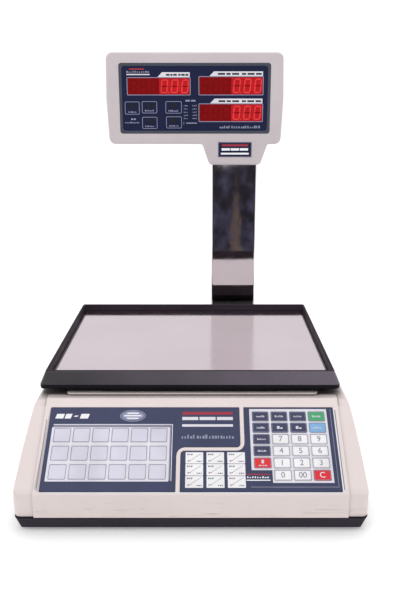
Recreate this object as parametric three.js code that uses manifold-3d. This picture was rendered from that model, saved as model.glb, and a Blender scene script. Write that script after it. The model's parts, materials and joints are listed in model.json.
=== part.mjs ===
// Label printing scale: counter-top weighing scale with a keypad, a lift-off platter,
// a display head on a mast and a label printer in its right side.
// Millimetres, +Z up, +X to the right, the keypad faces -Y. The origin is on the counter,
// below the centre of the bounding box.
import * as THREE from 'three';
import { mergeVertices } from 'three/addons/utils/BufferGeometryUtils.js';
import Module from 'manifold-3d';

const wasm = await Module();
wasm.setup();

// ---------------------------------------------------------------- driving dimensions
const GAP = 0.3; // clearance between neighbouring pieces
const DEPTH = 408; // whole scale, front to back
const FRONT = -DEPTH / 2;
const REAR = DEPTH / 2;

const FOOT_GAP = 4; // counter to tray underside
const TRAY_TOP = 17;
const TRAY_HALF = 190; // half width at the tray's top edge
const TRAY_HALF_LOW = 184; // half width at the tray's underside
const TRAY_FLOOR = 3;

const HOUSING_LOW = TRAY_TOP + GAP;
const HOUSING_NARROWS = 9; // loss of half width from tray to deck
const DECK_Z = 112;
const DECK_REAR_Z = 106.5;
const DECK_SLOPES_FROM_Y = 142;
const WALL = 2.6;
const PLAN_RADIUS = 7;
const WIDEST = 200; // beyond every half width: the reach of cutting blocks

const PANEL_FOOT_Z = 44; // where the upright front meets the slope
const PANEL_TOP_Y = -122;
const PANEL_TOP_Z = 114;
const PROUD = 2; // the middle of the front stands proud of its corners
const PROUD_HALF = 168;
const PLATEAU_Z = 116.5;
const PLATEAU_HALF = 147;
const PLATEAU_HALF_Y = 113;
const PLATEAU_Y = -3;

const PLATTER_X = -2.6; // centre of the platter
const PLATTER_Y = 10.5;
const RIM_HALF_X = 176.6;
const RIM_HALF_Y = 121.5;
const RIM_LOW = 119.6;
const RIM_SKIRT_LOW = 117.6; // middle of each side, where the rim reaches lower
const RIM_BAND_TOP = 124.8;
const RIM_TOP = 139.7;
const RIM_SLOPE = 6.4; // the band leans in by this much up to the lip
const LIP_WIDTH = 3;
const PAN_TOP = 130.7;
const PAN_SHEET = 1.2;
const PAN_INSET = 6; // edge of the steel, in from the rim's outer face
const PAN_REBATE = 0.6; // the steel's border under the lip is this much lower
const LOAD_TRAVEL = 0.5; // sag of the load cell under a full load

const MAST_X = 60;
const MAST_WIDTH = 70;
const MAST_DEPTH = 22;
const MAST_Y = 183;
const MAST_SHEET = 1.5;
const MAST_LOW = 10.6;
const MAST_HIGH = 395;

const HEAD_WIDTH = 262;
const HEAD_LOW = 381;
const HEAD_HIGH = 513;
const HEAD_DEPTH = 42;
const HEAD_RADIUS = 9;
const HEAD_WALL = 2.6;
const HEAD_EDGE = 3; // softening of the head's front and rear edges
const NECK_LOW = 350;
const NECK_HALF_TOP = 49.2;
const NECK_HALF_LOW = 38.5;
const SCREEN_WIDTH = 222.6;
const SCREEN_HEIGHT = 101;
const SCREEN_Z = 447.5;
const SCREEN_DEEP = 1.5;
const WINDOW_SPAN = 206; // red plate behind the three windows
const WINDOW_LOW = 412;
const WINDOW_HIGH = 482;

const PANEL_ANGLE = Math.atan2(PANEL_TOP_Z - PANEL_FOOT_Z, PANEL_TOP_Y - FRONT);
const FILM_WIDTH = 322;
const FILM_HEIGHT = 92;
const FILM_LIFT = 4.4; // along the slope, from its foot to the film's lower edge
const FILM_DEEP = 1.4; // recess that the films lie in
const FILM_THICK = 1;
const RIB = 5.2; // cream rib between the two films

const KEY_COLUMNS = [77.8, 99, 120.2, 141.4];
const KEY_ROWS = [81.6, 68.7, 55.8, 42.9, 30, 17.1];
const KEY_WIDTH = 18.2;
const KEY_HEIGHT = 10.7;
const KEY_PROUD = 0.5; // above the film
const KEY_TALL = 4.4;
const KEY_RADIUS = 1.2;

// ---------------------------------------------------------------- materials
const makeMaterial = (color, roughness, metalness = 0) =>
  new THREE.MeshStandardMaterial({ color, roughness, metalness });
const MATERIALS = {
  cream: () => makeMaterial(0xe4dad4, 0.5),
  offWhite: () => makeMaterial(0xcfcace, 0.5),
  black: () => makeMaterial(0x1c1a20, 0.45),
  gloss: () => makeMaterial(0x231e28, 0.2),
  steel: () => makeMaterial(0xd4cbd0, 0.3, 1),
  mirror: () => makeMaterial(0xdedee2, 0.06, 1),
  alloy: () => makeMaterial(0xb4b6ba, 0.4, 1),
  navyFilm: () => makeMaterial(0x434a70, 0.35),
  screenFilm: () => makeMaterial(0x192355, 0.25),
  red: () => makeMaterial(0xb81414, 0.2),
  rubber: () => makeMaterial(0x18181a, 0.85),
  board: () => makeMaterial(0x1f5a34, 0.5),
  paper: () => makeMaterial(0xf2f0ea, 0.9),
  vial: () => makeMaterial(0xc3dd6b, 0.15),
  whiteKey: () => makeMaterial(0xeeedef, 0.4),
  navyKey: () => makeMaterial(0x3f4560, 0.4),
  greenKey: () => makeMaterial(0x4ba56e, 0.4),
  blueKey: () => makeMaterial(0x82afdc, 0.4),
  redKey: () => makeMaterial(0xdc3237, 0.4),
  zinc: () => makeMaterial(0xa9abae, 0.45, 1),
};

// ---------------------------------------------------------------- solid tools
function toSolid(geometry) {
  const bare = geometry.index ? geometry.toNonIndexed() : geometry.clone();
  bare.deleteAttribute('normal');
  bare.deleteAttribute('uv');
  const merged = mergeVertices(bare, 1e-4);
  const mesh = new wasm.Mesh({
    numProp: 3,
    vertProperties: new Float32Array(merged.attributes.position.array),
    triVerts: new Uint32Array(merged.index.array),
  });
  mesh.merge();
  return new wasm.Manifold(mesh);
}

function toGeometry(solid) {
  const mesh = solid.getMesh();
  const geometry = new THREE.BufferGeometry();
  geometry.setAttribute('position', new THREE.BufferAttribute(mesh.vertProperties, 3));
  geometry.setIndex(new THREE.BufferAttribute(mesh.triVerts, 1));
  return geometry;
}

const join = (first, ...others) => others.reduce((sum, other) => sum.add(other), first);
const cut = (first, ...others) => others.reduce((rest, other) => rest.subtract(other), first);

// Box from its low corner to its high corner.
function block(low, high) {
  const size = high.map((value, axis) => value - low[axis]);
  const geometry = new THREE.BoxGeometry(...size);
  geometry.translate(...low.map((value, axis) => value + size[axis] / 2));
  return toSolid(geometry);
}

// Box by its centre and size.
function centredBlock(centre, size) {
  const low = centre.map((value, axis) => value - size[axis] / 2);
  const high = centre.map((value, axis) => value + size[axis] / 2);
  return block(low, high);
}

// Round bar between two values along 'x', 'y' or 'z', round the centre (a, b) of the other two axes.
function bar(axis, centre, radius, from, to, sides = 24) {
  const geometry = new THREE.CylinderGeometry(radius, radius, to - from, sides);
  const middle = (from + to) / 2;
  if (axis === 'x') geometry.rotateZ(-Math.PI / 2).translate(middle, centre[0], centre[1]);
  if (axis === 'y') geometry.translate(centre[0], middle, centre[1]);
  if (axis === 'z') geometry.rotateX(Math.PI / 2).translate(centre[0], centre[1], middle);
  return toSolid(geometry);
}

// Closed outline with rounded corners; corners are [x, y] or [x, y, radius].
function roundedOutline(corners, defaultRadius = 0, steps = 4) {
  const points = [];
  corners.forEach((corner, index) => {
    const here = new THREE.Vector2(corner[0], corner[1]);
    const radius = corner.length > 2 ? corner[2] : defaultRadius;
    if (radius <= 0) {
      points.push(here);
      return;
    }
    const before = corners[(index + corners.length - 1) % corners.length];
    const after = corners[(index + 1) % corners.length];
    const back = new THREE.Vector2(before[0], before[1]).sub(here).normalize();
    const ahead = new THREE.Vector2(after[0], after[1]).sub(here).normalize();
    const half = Math.acos(THREE.MathUtils.clamp(back.dot(ahead), -1, 1)) / 2;
    const reach = radius / Math.tan(half);
    const towards = back.clone().add(ahead).normalize();
    const middle = towards.multiplyScalar(radius / Math.sin(half)).add(here);
    const start = back.clone().multiplyScalar(reach).add(here).sub(middle);
    const end = ahead.clone().multiplyScalar(reach).add(here).sub(middle);
    const sweep = Math.atan2(start.cross(end), start.dot(end));
    for (let step = 0; step <= steps; step += 1) {
      points.push(start.clone().rotateAround(new THREE.Vector2(), (sweep * step) / steps).add(middle));
    }
  });
  return points;
}

const rectangle = (halfX, halfY, x = 0, y = 0) => [
  [x - halfX, y - halfY],
  [x + halfX, y - halfY],
  [x + halfX, y + halfY],
  [x - halfX, y + halfY],
];

// Rectangle with rounded corners, as points.
const roundedBox = (halfX, halfY, x, y, radius, steps = 3) =>
  roundedOutline(rectangle(halfX, halfY, x, y), radius, steps);

function extrude(points, depth, holes = []) {
  const shape = new THREE.Shape(points);
  holes.forEach((hole) => shape.holes.push(new THREE.Path(hole)));
  return new THREE.ExtrudeGeometry(shape, { depth, bevelEnabled: false });
}

// Prism of an outline in XY, from one height to another.
const prismZ = (points, low, high, holes = []) =>
  toSolid(extrude(points, high - low, holes).translate(0, 0, low));

// Prism of an outline in XZ, from one Y to another.
const prismY = (points, near, far, holes = []) =>
  toSolid(extrude(points, far - near, holes).rotateX(Math.PI / 2).translate(0, far, 0));

// Prism of an outline in YZ, from one X to another.
function prismX(points, left, right) {
  const geometry = extrude(points, right - left);
  const turn = new THREE.Matrix4().set(0, 0, 1, left, 1, 0, 0, 0, 0, 1, 0, 0, 0, 0, 0, 1);
  return toSolid(geometry.applyMatrix4(turn));
}

// Solid between two outlines of equal point count at two heights.
function loft(lowPoints, lowZ, highPoints, highZ) {
  const count = lowPoints.length;
  const positions = [];
  lowPoints.forEach((point) => positions.push(point.x, point.y, lowZ));
  highPoints.forEach((point) => positions.push(point.x, point.y, highZ));
  const index = [];
  for (let i = 0; i < count; i += 1) {
    const next = (i + 1) % count;
    index.push(i, next, count + next, i, count + next, count + i);
  }
  THREE.ShapeUtils.triangulateShape(lowPoints, []).forEach(([a, b, c]) => {
    index.push(a, c, b, count + a, count + b, count + c);
  });
  const geometry = new THREE.BufferGeometry();
  geometry.setAttribute('position', new THREE.Float32BufferAttribute(positions, 3));
  geometry.setIndex(index);
  return toSolid(geometry);
}

const group = new THREE.Group();
function addPart(name, solid, material, parent = group) {
  const mesh = new THREE.Mesh(toGeometry(solid), MATERIALS[material]());
  mesh.name = name;
  parent.add(mesh);
  return mesh;
}

// ---------------------------------------------------------------- feet and tray
const FOOT_X = 150;
const FOOT_Y = 165;
const FOOT_RADIUS = 13;
const FOOT_PAD = 2.2;
const STUD_RADIUS = 4;
const STUD_TOP = 16;
const BOSS_RADIUS = 9;
const corners = [
  ['front_left', -FOOT_X, -FOOT_Y],
  ['front_right', FOOT_X, -FOOT_Y],
  ['rear_left', -FOOT_X, FOOT_Y],
  ['rear_right', FOOT_X, FOOT_Y],
];

function makeFoot(x, y) {
  const pad = bar('z', [x, y], FOOT_RADIUS, 0, FOOT_PAD, 28);
  const stud = bar('z', [x, y], STUD_RADIUS, FOOT_PAD - 0.5, STUD_TOP, 16);
  return join(pad, stud);
}
corners.forEach(([place, x, y]) => addPart(`foot_${place}`, makeFoot(x, y), 'rubber'));

const trayOutline = (half, inset) =>
  roundedBox(half - inset, DEPTH / 2 - inset, 0, 0, PLAN_RADIUS, 4);

function makeTray() {
  const lean = TRAY_HALF - TRAY_HALF_LOW;
  const outer = loft(trayOutline(TRAY_HALF_LOW, 0), FOOT_GAP, trayOutline(TRAY_HALF, 0), TRAY_TOP);
  const inner = loft(trayOutline(TRAY_HALF_LOW + 1.4, WALL), FOOT_GAP + TRAY_FLOOR,
    trayOutline(TRAY_HALF + 0.4, WALL), TRAY_TOP + 1);
  const studHoles = corners.map(([, x, y]) =>
    bar('z', [x, y], STUD_RADIUS + GAP, 0, TRAY_TOP + 10, 16));
  const bosses = corners.map(([, x, y]) =>
    bar('z', [x, y], BOSS_RADIUS, FOOT_GAP + 1, TRAY_TOP - 4, 20));
  const frontTaper = prismX(roundedOutline([
    [FRONT - 5, FOOT_GAP - 5],
    [FRONT + lean / 3, FOOT_GAP - 1],
    [FRONT, TRAY_TOP],
    [FRONT - 5, TRAY_TOP],
  ]), -WIDEST, WIDEST);
  return cut(join(cut(outer, inner), ...bosses), frontTaper, ...studHoles);
}
addPart('base_tray', makeTray(), 'black');

// ---------------------------------------------------------------- upper housing
function halfWidthAt(z) {
  const share = (z - TRAY_TOP) / (DECK_Z - TRAY_TOP);
  return TRAY_HALF - HOUSING_NARROWS * share ** 2;
}

// Front view of the housing: sides that curve in towards the deck.
function sideProfile(inset, deckZ) {
  const steps = 6;
  const high = deckZ - 6;
  const right = [];
  for (let step = 0; step <= steps; step += 1) {
    const z = HOUSING_LOW + ((high - HOUSING_LOW) * step) / steps;
    right.push(new THREE.Vector2(halfWidthAt(z) - inset, z));
  }
  const edge = halfWidthAt(high) - inset;
  right.push(new THREE.Vector2(edge - 1.2, deckZ - 2.6));
  right.push(new THREE.Vector2(edge - 3.6, deckZ - 0.6));
  right.push(new THREE.Vector2(edge - 6.5, deckZ));
  const left = right.map((point) => new THREE.Vector2(-point.x, point.y)).reverse();
  return [...right, ...left];
}

// Side view of the corner sections, set back from the proud middle.
function lengthProfile(inset) {
  const slopeShift = PROUD / Math.sin(PANEL_ANGLE);
  const slopeInset = inset / Math.sin(PANEL_ANGLE);
  const front = FRONT + PROUD + inset;
  const deck = DECK_Z - inset;
  const slope = Math.tan(PANEL_ANGLE);
  const slopeY = (z) => FRONT + slopeShift + slopeInset + (z - PANEL_FOOT_Z) / slope;
  const footZ = PANEL_FOOT_Z + (front - slopeY(PANEL_FOOT_Z)) * slope;
  return [
    [front, HOUSING_LOW - 1],
    [REAR - inset, HOUSING_LOW - 1],
    [REAR - inset, DECK_REAR_Z - inset, inset > 0 ? 0 : 5],
    [DECK_SLOPES_FROM_Y, deck],
    [slopeY(deck), deck, inset > 0 ? 0 : 4],
    [front, footZ, inset > 0 ? 0 : 5],
  ];
}

function housingBody(inset) {
  const side = prismY(sideProfile(inset, DECK_Z - inset), FRONT - 5, REAR + 5);
  const length = prismX(roundedOutline(lengthProfile(inset), 0, 3), -WIDEST, WIDEST);
  const corner = Math.max(PLAN_RADIUS - inset, 2);
  const near = FRONT + PROUD + inset;
  const far = REAR - inset;
  const outline = roundedBox(TRAY_HALF - inset, (far - near) / 2, 0, (near + far) / 2, corner, 4);
  const plan = prismZ(outline, HOUSING_LOW - (inset > 0 ? 1 : 0), DECK_Z + 20);
  return side.intersect(length).intersect(plan);
}

// Middle of the front, proud of the corners, with the key panel's slope.
function proudFront() {
  const profile = roundedOutline([
    [FRONT, HOUSING_LOW],
    [FRONT + 20, HOUSING_LOW],
    [PANEL_TOP_Y + 20, DECK_Z - 12],
    [PANEL_TOP_Y + 12, PANEL_TOP_Z - 1],
    [PANEL_TOP_Y + 6, PANEL_TOP_Z],
    [PANEL_TOP_Y, PANEL_TOP_Z, 3],
    [FRONT, PANEL_FOOT_Z, 5],
  ], 0, 3);
  return prismX(profile, -PROUD_HALF, PROUD_HALF);
}

// Points of the slope: x across, u up the slope from the films' lower edge, n out of the slope.
function panelMatrix() {
  const up = new THREE.Vector3(0, Math.cos(PANEL_ANGLE), Math.sin(PANEL_ANGLE));
  const out = new THREE.Vector3(0, -Math.sin(PANEL_ANGLE), Math.cos(PANEL_ANGLE));
  const across = new THREE.Vector3(1, 0, 0);
  const origin = new THREE.Vector3(0, FRONT, PANEL_FOOT_Z).addScaledVector(up, FILM_LIFT);
  return new THREE.Matrix4().makeBasis(across, up, out).setPosition(origin);
}

function panelPrism(points, low, high, holes = []) {
  const geometry = extrude(points, high - low, holes).translate(0, 0, low);
  return toSolid(geometry.applyMatrix4(panelMatrix()));
}

// Outlines of the two films; the rib between them makes an S.
const RIB_HIGH_X = 56.6;
const RIB_LOW_X = -14.2;
const RIB_U = 45;
const RIB_FLAT = 4.3;
const filmHalf = FILM_WIDTH / 2;
const leftFilm = (grow) => roundedOutline([
  [-filmHalf - grow, -grow, 1],
  [RIB_LOW_X - RIB / 2 + grow, -grow, 0.8],
  [RIB_LOW_X - RIB / 2 + grow, RIB_U + RIB_FLAT / 2 - grow, 9],
  [RIB_HIGH_X - RIB / 2 + grow, RIB_U + RIB_FLAT / 2 - grow, 4],
  [RIB_HIGH_X - RIB / 2 + grow, FILM_HEIGHT + grow, 0.8],
  [-filmHalf - grow, FILM_HEIGHT + grow, 1],
], 0, 4);
const rightFilm = (grow) => roundedOutline([
  [RIB_LOW_X + RIB / 2 - grow, -grow, 0.8],
  [filmHalf + grow, -grow, 1],
  [filmHalf + grow, FILM_HEIGHT + grow, 1],
  [RIB_HIGH_X + RIB / 2 - grow, FILM_HEIGHT + grow, 0.8],
  [RIB_HIGH_X + RIB / 2 - grow, RIB_U - RIB_FLAT / 2 + grow, 9],
  [RIB_LOW_X + RIB / 2 - grow, RIB_U - RIB_FLAT / 2 + grow, 4],
], 0, 4);

const keyOutline = (x, u, grow) =>
  roundedBox(KEY_WIDTH / 2 + grow, KEY_HEIGHT / 2 + grow, x, u, KEY_RADIUS + grow, 2);

// Numeric block: four columns by six rows, without the first key of the lowest row.
const keyNames = [
  ['key_print', 'key_feed', 'key_auto', 'key_sum'],
  ['key_total', 'key_change', 'key_void', 'key_enter'],
  ['key_tare', 'key_7', 'key_8', 'key_9'],
  ['key_plu', 'key_4', 'key_5', 'key_6'],
  ['key_zero', 'key_1', 'key_2', 'key_3'],
  [null, 'key_0', 'key_00', 'key_clear'],
];
const keys = [];
keyNames.forEach((row, rowIndex) => row.forEach((name, columnIndex) => {
  if (name) keys.push({ name, x: KEY_COLUMNS[columnIndex], u: KEY_ROWS[rowIndex] });
}));

const FILM_TOP = -(FILM_DEEP - GAP - FILM_THICK);
const FILM_LOW = FILM_TOP - FILM_THICK;
const keyHigh = FILM_TOP + KEY_PROUD;

// Printer door, in the right wall.
const DOOR_NEAR = 14;
const DOOR_FAR = 116;
const DOOR_LOW = 32;
const DOOR_HIGH = 100;
const SLOT_LOW = 81;
const SLOT_HIGH = 87;
const GRIP_NEAR = 50;
const GRIP_FAR = 80;
const PAPER_NEAR = 33;
const PAPER_FAR = 95;

// Power inlet and switch, in the rear wall.
const INLET_X = -140;
const INLET_Z = 42;
const INLET_HALF = [11, 7.5]; // the connector's recess, across and up
const SWITCH_X = -104;

const LEVEL_X = -120;
const LEVEL_Y = -85;
const LEVEL_RADIUS = 10;

const POST_Y = 60; // centre of the load post
const POST_HALF = 21;

function makeHousing() {
  const plateau = prismZ(
    roundedBox(PLATEAU_HALF, PLATEAU_HALF_Y, 0, PLATEAU_Y, 5), DECK_Z - 4, PLATEAU_Z);
  const shell = cut(join(housingBody(0), proudFront(), plateau), housingBody(WALL));
  const filmPockets = [leftFilm(GAP), rightFilm(GAP)].map((points) =>
    panelPrism(points, -FILM_DEEP, 20));
  const keyWindow = join(
    panelPrism(roundedBox(42.4, 32, 109.6, 55.9, 2, 2), -20, 5),
    panelPrism(roundedBox(32, 12, 120.2, 23, 2, 2), -20, 5));
  const deckHole = (halfX, halfY, x, y) =>
    prismZ(roundedBox(halfX, halfY, x, y, 3), DECK_Z - 20, DECK_Z + 20);
  const holes = [
    deckHole(POST_HALF + 4, POST_HALF + 4, 0, POST_Y),
    deckHole(MAST_WIDTH / 2 + 0.5, MAST_DEPTH / 2 + 0.5, MAST_X, MAST_Y),
    block([150, DOOR_NEAR, DOOR_LOW], [WIDEST, DOOR_FAR, DOOR_HIGH]),
    centredBlock([INLET_X, REAR, INLET_Z], [28, 20, 21]),
    centredBlock([SWITCH_X, REAR, INLET_Z], [22, 20, 15]),
    bar('z', [LEVEL_X, LEVEL_Y], LEVEL_RADIUS + 0.4, DECK_Z - 10, DECK_Z + 20, 24),
  ];
  return cut(shell, ...filmPockets, keyWindow, ...holes);
}
addPart('upper_housing', makeHousing(), 'cream');

// ---------------------------------------------------------------- keypad
addPart('keypad_film_left', panelPrism(leftFilm(0), FILM_LOW, FILM_TOP), 'navyFilm');
const keyHoles = keys.map(({ x, u }) => keyOutline(x, u, GAP));
addPart('keypad_film_right', panelPrism(rightFilm(0), FILM_LOW, FILM_TOP, keyHoles), 'navyFilm');

const colouredKeys = {
  key_sum: 'greenKey',
  key_enter: 'blueKey',
  key_zero: 'redKey',
  key_clear: 'redKey',
};
const plainKey = (name) => (/^key_(\d+)$/.test(name) ? 'whiteKey' : 'navyKey');
keys.forEach(({ name, x, u }) => {
  const solid = panelPrism(keyOutline(x, u, 0), keyHigh - KEY_TALL, keyHigh);
  addPart(name, solid, colouredKeys[name] ?? plainKey(name));
});

function makeKeypadBoard() {
  const top = -6;
  const sheet = panelPrism(roundedBox(156, 40, 0, 44, 1, 2), top - 1.6, top);
  const domes = keys.map(({ x, u }) =>
    panelPrism(roundedBox(3, 3, x, u, 0.5, 1), top - 0.5, top + 0.7));
  return join(sheet, ...domes);
}
addPart('keypad_board', makeKeypadBoard(), 'board');

// ---------------------------------------------------------------- weighing
const FLOOR = FOOT_GAP + TRAY_FLOOR;
const CELL_LOW = 34;
const CELL_HIGH = 62;
const CELL_NEAR = -60;
const CELL_FAR = 80;
const spacer = block([-19, CELL_NEAR, FLOOR + GAP], [19, CELL_NEAR + 40, CELL_LOW - GAP]);
addPart('load_cell_spacer', spacer, 'alloy');

function makeLoadCell() {
  const beam = block([-17, CELL_NEAR, CELL_LOW], [17, CELL_FAR, CELL_HIGH]);
  const middle = (CELL_LOW + CELL_HIGH) / 2;
  const eyes = [-12, 32].map((y) => bar('x', [y, middle], 9, -30, 30, 20));
  const waist = block([-30, -12, middle - 4], [30, 32, middle + 4]);
  return cut(beam, ...eyes, waist);
}
addPart('load_cell', makeLoadCell(), 'alloy');

const ARM_LOW = 117.6;
const ARM_HIGH = 120.2;
const CUSHION_X = 126;
const CUSHION_DY = 92;
const CUSHION_RADIUS = 10;
const cushions = [
  ['front_left', PLATTER_X - CUSHION_X, PLATTER_Y - CUSHION_DY],
  ['front_right', PLATTER_X + CUSHION_X, PLATTER_Y - CUSHION_DY],
  ['rear_left', PLATTER_X - CUSHION_X, PLATTER_Y + CUSHION_DY],
  ['rear_right', PLATTER_X + CUSHION_X, PLATTER_Y + CUSHION_DY],
];

// Sheet-metal frame on a post: two cross arms, two rails and a tie.
function makeSpider() {
  const postHalf = POST_HALF - 4;
  const post = block([-postHalf, POST_Y - postHalf - 2, CELL_HIGH + GAP + LOAD_TRAVEL],
    [postHalf, CELL_FAR, ARM_LOW + 1]);
  const hub = prismZ(roundedBox(26, 46, 0, 38, 6), ARM_LOW, ARM_HIGH);
  const arms = [-1, 1].map((side) =>
    prismZ(roundedBox(CUSHION_X + 13, 13, PLATTER_X, PLATTER_Y + side * CUSHION_DY, 12, 4),
      ARM_LOW, ARM_HIGH));
  const railX = 60;
  const rails = [-1, 1].map((side) =>
    prismZ(roundedBox(12, CUSHION_DY, side * railX, PLATTER_Y, 1, 1), ARM_LOW, ARM_HIGH));
  const tie = block([-railX - 6, 24, ARM_LOW], [railX + 6, 60, ARM_HIGH]);
  return join(hub, post, tie, ...arms, ...rails);
}
addPart('spider_frame', makeSpider(), 'zinc');

const PAN_LOW = PAN_TOP - PAN_SHEET;
cushions.forEach(([place, x, y]) => {
  const solid = bar('z', [x, y], CUSHION_RADIUS, ARM_HIGH + GAP, PAN_LOW - GAP, 24);
  addPart(`cushion_${place}`, solid, 'rubber');
});

// ---------------------------------------------------------------- platter
const rimOutline = (inset, radius) =>
  roundedBox(RIM_HALF_X - inset, RIM_HALF_Y - inset, PLATTER_X, PLATTER_Y, radius, 4);
const LIP_IN = RIM_SLOPE + LIP_WIDTH;

function makeRim() {
  const band = prismZ(rimOutline(0, 6), RIM_LOW, RIM_BAND_TOP);
  const skirts = [[108, RIM_HALF_Y - 0.4], [RIM_HALF_X - 0.4, 70]].map(([halfX, halfY]) =>
    loft(roundedBox(halfX - 6, halfY, PLATTER_X, PLATTER_Y, 2, 2), RIM_SKIRT_LOW,
      roundedBox(halfX, halfY, PLATTER_X, PLATTER_Y, 2, 2), RIM_LOW + 1));
  const slope = loft(rimOutline(0, 6), RIM_BAND_TOP, rimOutline(RIM_SLOPE, 5), RIM_TOP);
  const mouth = loft(rimOutline(LIP_IN + 1, 3), PAN_TOP - 1, rimOutline(LIP_IN - 0.2, 4), RIM_TOP + 1);
  const seat = prismZ(rimOutline(PAN_INSET, 4), RIM_SKIRT_LOW - 1, PAN_TOP + GAP);
  return cut(join(band, slope, ...skirts), mouth, seat);
}
addPart('platter_rim', makeRim(), 'gloss');

// Steel sheet with a lowered border under the lip and a skirt round its edge.
function makePan() {
  const edge = PAN_INSET + GAP;
  const border = prismZ(rimOutline(edge, 3.8), PAN_LOW, PAN_TOP - PAN_REBATE);
  const sheet = prismZ(rimOutline(LIP_IN + 1.5, 3), PAN_LOW, PAN_TOP);
  const skirt = cut(prismZ(rimOutline(edge, 3.8), RIM_LOW + 0.8, PAN_LOW + 0.4),
    prismZ(rimOutline(edge + PAN_SHEET, 3), RIM_LOW, PAN_TOP));
  return join(border, sheet, skirt);
}
addPart('platter_tray', makePan(), 'steel');

function makeLevel() {
  const body = bar('z', [LEVEL_X, LEVEL_Y], LEVEL_RADIUS, PLATEAU_Z - 8, PLATEAU_Z - 0.2, 24);
  const lens = bar('z', [LEVEL_X, LEVEL_Y], LEVEL_RADIUS - 3, PLATEAU_Z - 1, PLATEAU_Z, 24);
  return join(body, lens);
}
addPart('spirit_level', makeLevel(), 'vial');

// ---------------------------------------------------------------- electronics
function makeMainBoard() {
  const sheet = block([-165, -130, 22], [-45, -20, 23.6]);
  const legs = [[-160, -125], [-50, -125], [-160, -25], [-50, -25]].map((place) =>
    bar('z', place, 3.5, FLOOR + GAP, 22.5, 10));
  const chips = [
    block([-130, -95, 23], [-105, -70, 27]),
    block([-95, -90, 23], [-80, -60, 26]),
    block([-160, -60, 23], [-150, -30, 33]),
    block([-75, -120, 23], [-55, -112, 32]),
  ];
  return join(sheet, ...legs, ...chips);
}
addPart('main_board', makeMainBoard(), 'board');

function makePowerSupply() {
  const can = block([-165, 42, FLOOR + GAP], [-85, 150, 50]);
  const vents = [0, 1, 2, 3, 4, 5].map((index) =>
    centredBlock([-125, 59 + index * 14, 51], [60, 6, 8]));
  return cut(can, ...vents);
}
addPart('power_supply', makePowerSupply(), 'zinc');

// Inlet and switch in one module: the socket's mouth shows through the rear wall.
function makeInlet() {
  const [halfX, halfZ] = INLET_HALF;
  const back = REAR - 26;
  const body = block([INLET_X - 15, back, INLET_Z - 10],
    [SWITCH_X + 13, REAR - WALL - GAP, INLET_Z + 10]);
  const mouth = block([INLET_X - 13.5, REAR - 8, INLET_Z - 10],
    [INLET_X + 13.5, REAR - 0.5, INLET_Z + 10]);
  const socket = block([INLET_X - halfX, REAR - 17, INLET_Z - halfZ],
    [INLET_X + halfX, REAR + 5, INLET_Z + halfZ]);
  const pins = [[-7, -2], [0, 2], [7, -2]].map(([x, z]) =>
    centredBlock([INLET_X + x, REAR - 12, INLET_Z + z], [2, 12, 4]));
  const pocket = centredBlock([SWITCH_X, REAR - 8, INLET_Z], [20.4, 16, 15]);
  return join(cut(join(body, mouth), socket, pocket), ...pins);
}
addPart('power_inlet', makeInlet(), 'black');

// Rocker: resting with its upper half pressed in.
const ROCKER_TILT = 9;
const rocker = new THREE.Group();
rocker.position.set(SWITCH_X, REAR - 8, INLET_Z);
rocker.rotation.x = THREE.MathUtils.degToRad(ROCKER_TILT);
group.add(rocker);
const rockerProfile = roundedOutline([[-5, -6], [5.6, -6], [4.4, 0], [5.6, 6], [-5, 6]], 0.6, 2);
addPart('power_switch', prismX(rockerProfile, -9.5, 9.5), 'black', rocker);

// ---------------------------------------------------------------- label printer
const ROLL_X = 104;
const ROLL_Z = 56;
const ROLL_RADIUS = 36;
const SPINDLE_RADIUS = 11;
const CORE_RADIUS = 12.5;
const PLATEN_X = 160;
const PLATEN_Z = 74;
const PLATEN_RADIUS = 7;
const AXLE_RADIUS = 2.5;
const CHEEK_NEAR = 26;
const CHEEK_FAR = 100;
const CHEEK = 2.4;
const PIN_RADIUS = 2.5;
const PIVOT_X = 128;
const PIVOT_Z = 95;

function makePrinterFrame() {
  const base = block([62, CHEEK_NEAR - 4, FLOOR + GAP], [168, CHEEK_FAR + 6, FLOOR + GAP + 3]);
  const cheekLow = FLOOR + 2;
  const cheekShape = roundedOutline([[96, cheekLow], [168, cheekLow], [171, 40], [171, 78, 3],
    [140, 101, 3], [122, 101, 3], [92, 74, 4]], 0, 3);
  const cheeks = [CHEEK_NEAR, CHEEK_FAR].map((y) => prismY(cheekShape, y, y + CHEEK));
  const spindle = bar('y', [ROLL_X, ROLL_Z], SPINDLE_RADIUS, CHEEK_NEAR + 1, CHEEK_FAR + 1, 24);
  const bearings = bar('y', [PLATEN_X, PLATEN_Z], AXLE_RADIUS + GAP, 0, 130, 16);
  const pivotHoles = bar('y', [PIVOT_X, PIVOT_Z], PIN_RADIUS + GAP, 0, 130, 16);
  return cut(join(base, ...cheeks, spindle), bearings, pivotHoles);
}
addPart('printer_frame', makePrinterFrame(), 'zinc');

function makeRoll() {
  const outer = bar('y', [ROLL_X, ROLL_Z], ROLL_RADIUS, PAPER_NEAR, PAPER_FAR, 40);
  return cut(outer, bar('y', [ROLL_X, ROLL_Z], CORE_RADIUS, 0, 130, 24));
}
addPart('label_roll', makeRoll(), 'paper');

function makePlaten() {
  const centre = [PLATEN_X, PLATEN_Z];
  const gearNear = CHEEK_FAR + CHEEK + 1;
  return join(bar('y', centre, PLATEN_RADIUS, PAPER_NEAR - 2, PAPER_FAR + 2, 28),
    bar('y', centre, AXLE_RADIUS, CHEEK_NEAR - 3, gearNear + 7, 16),
    bar('y', centre, 6, gearNear, gearNear + 5, 12));
}
addPart('platen_roller', makePlaten(), 'rubber');

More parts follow.
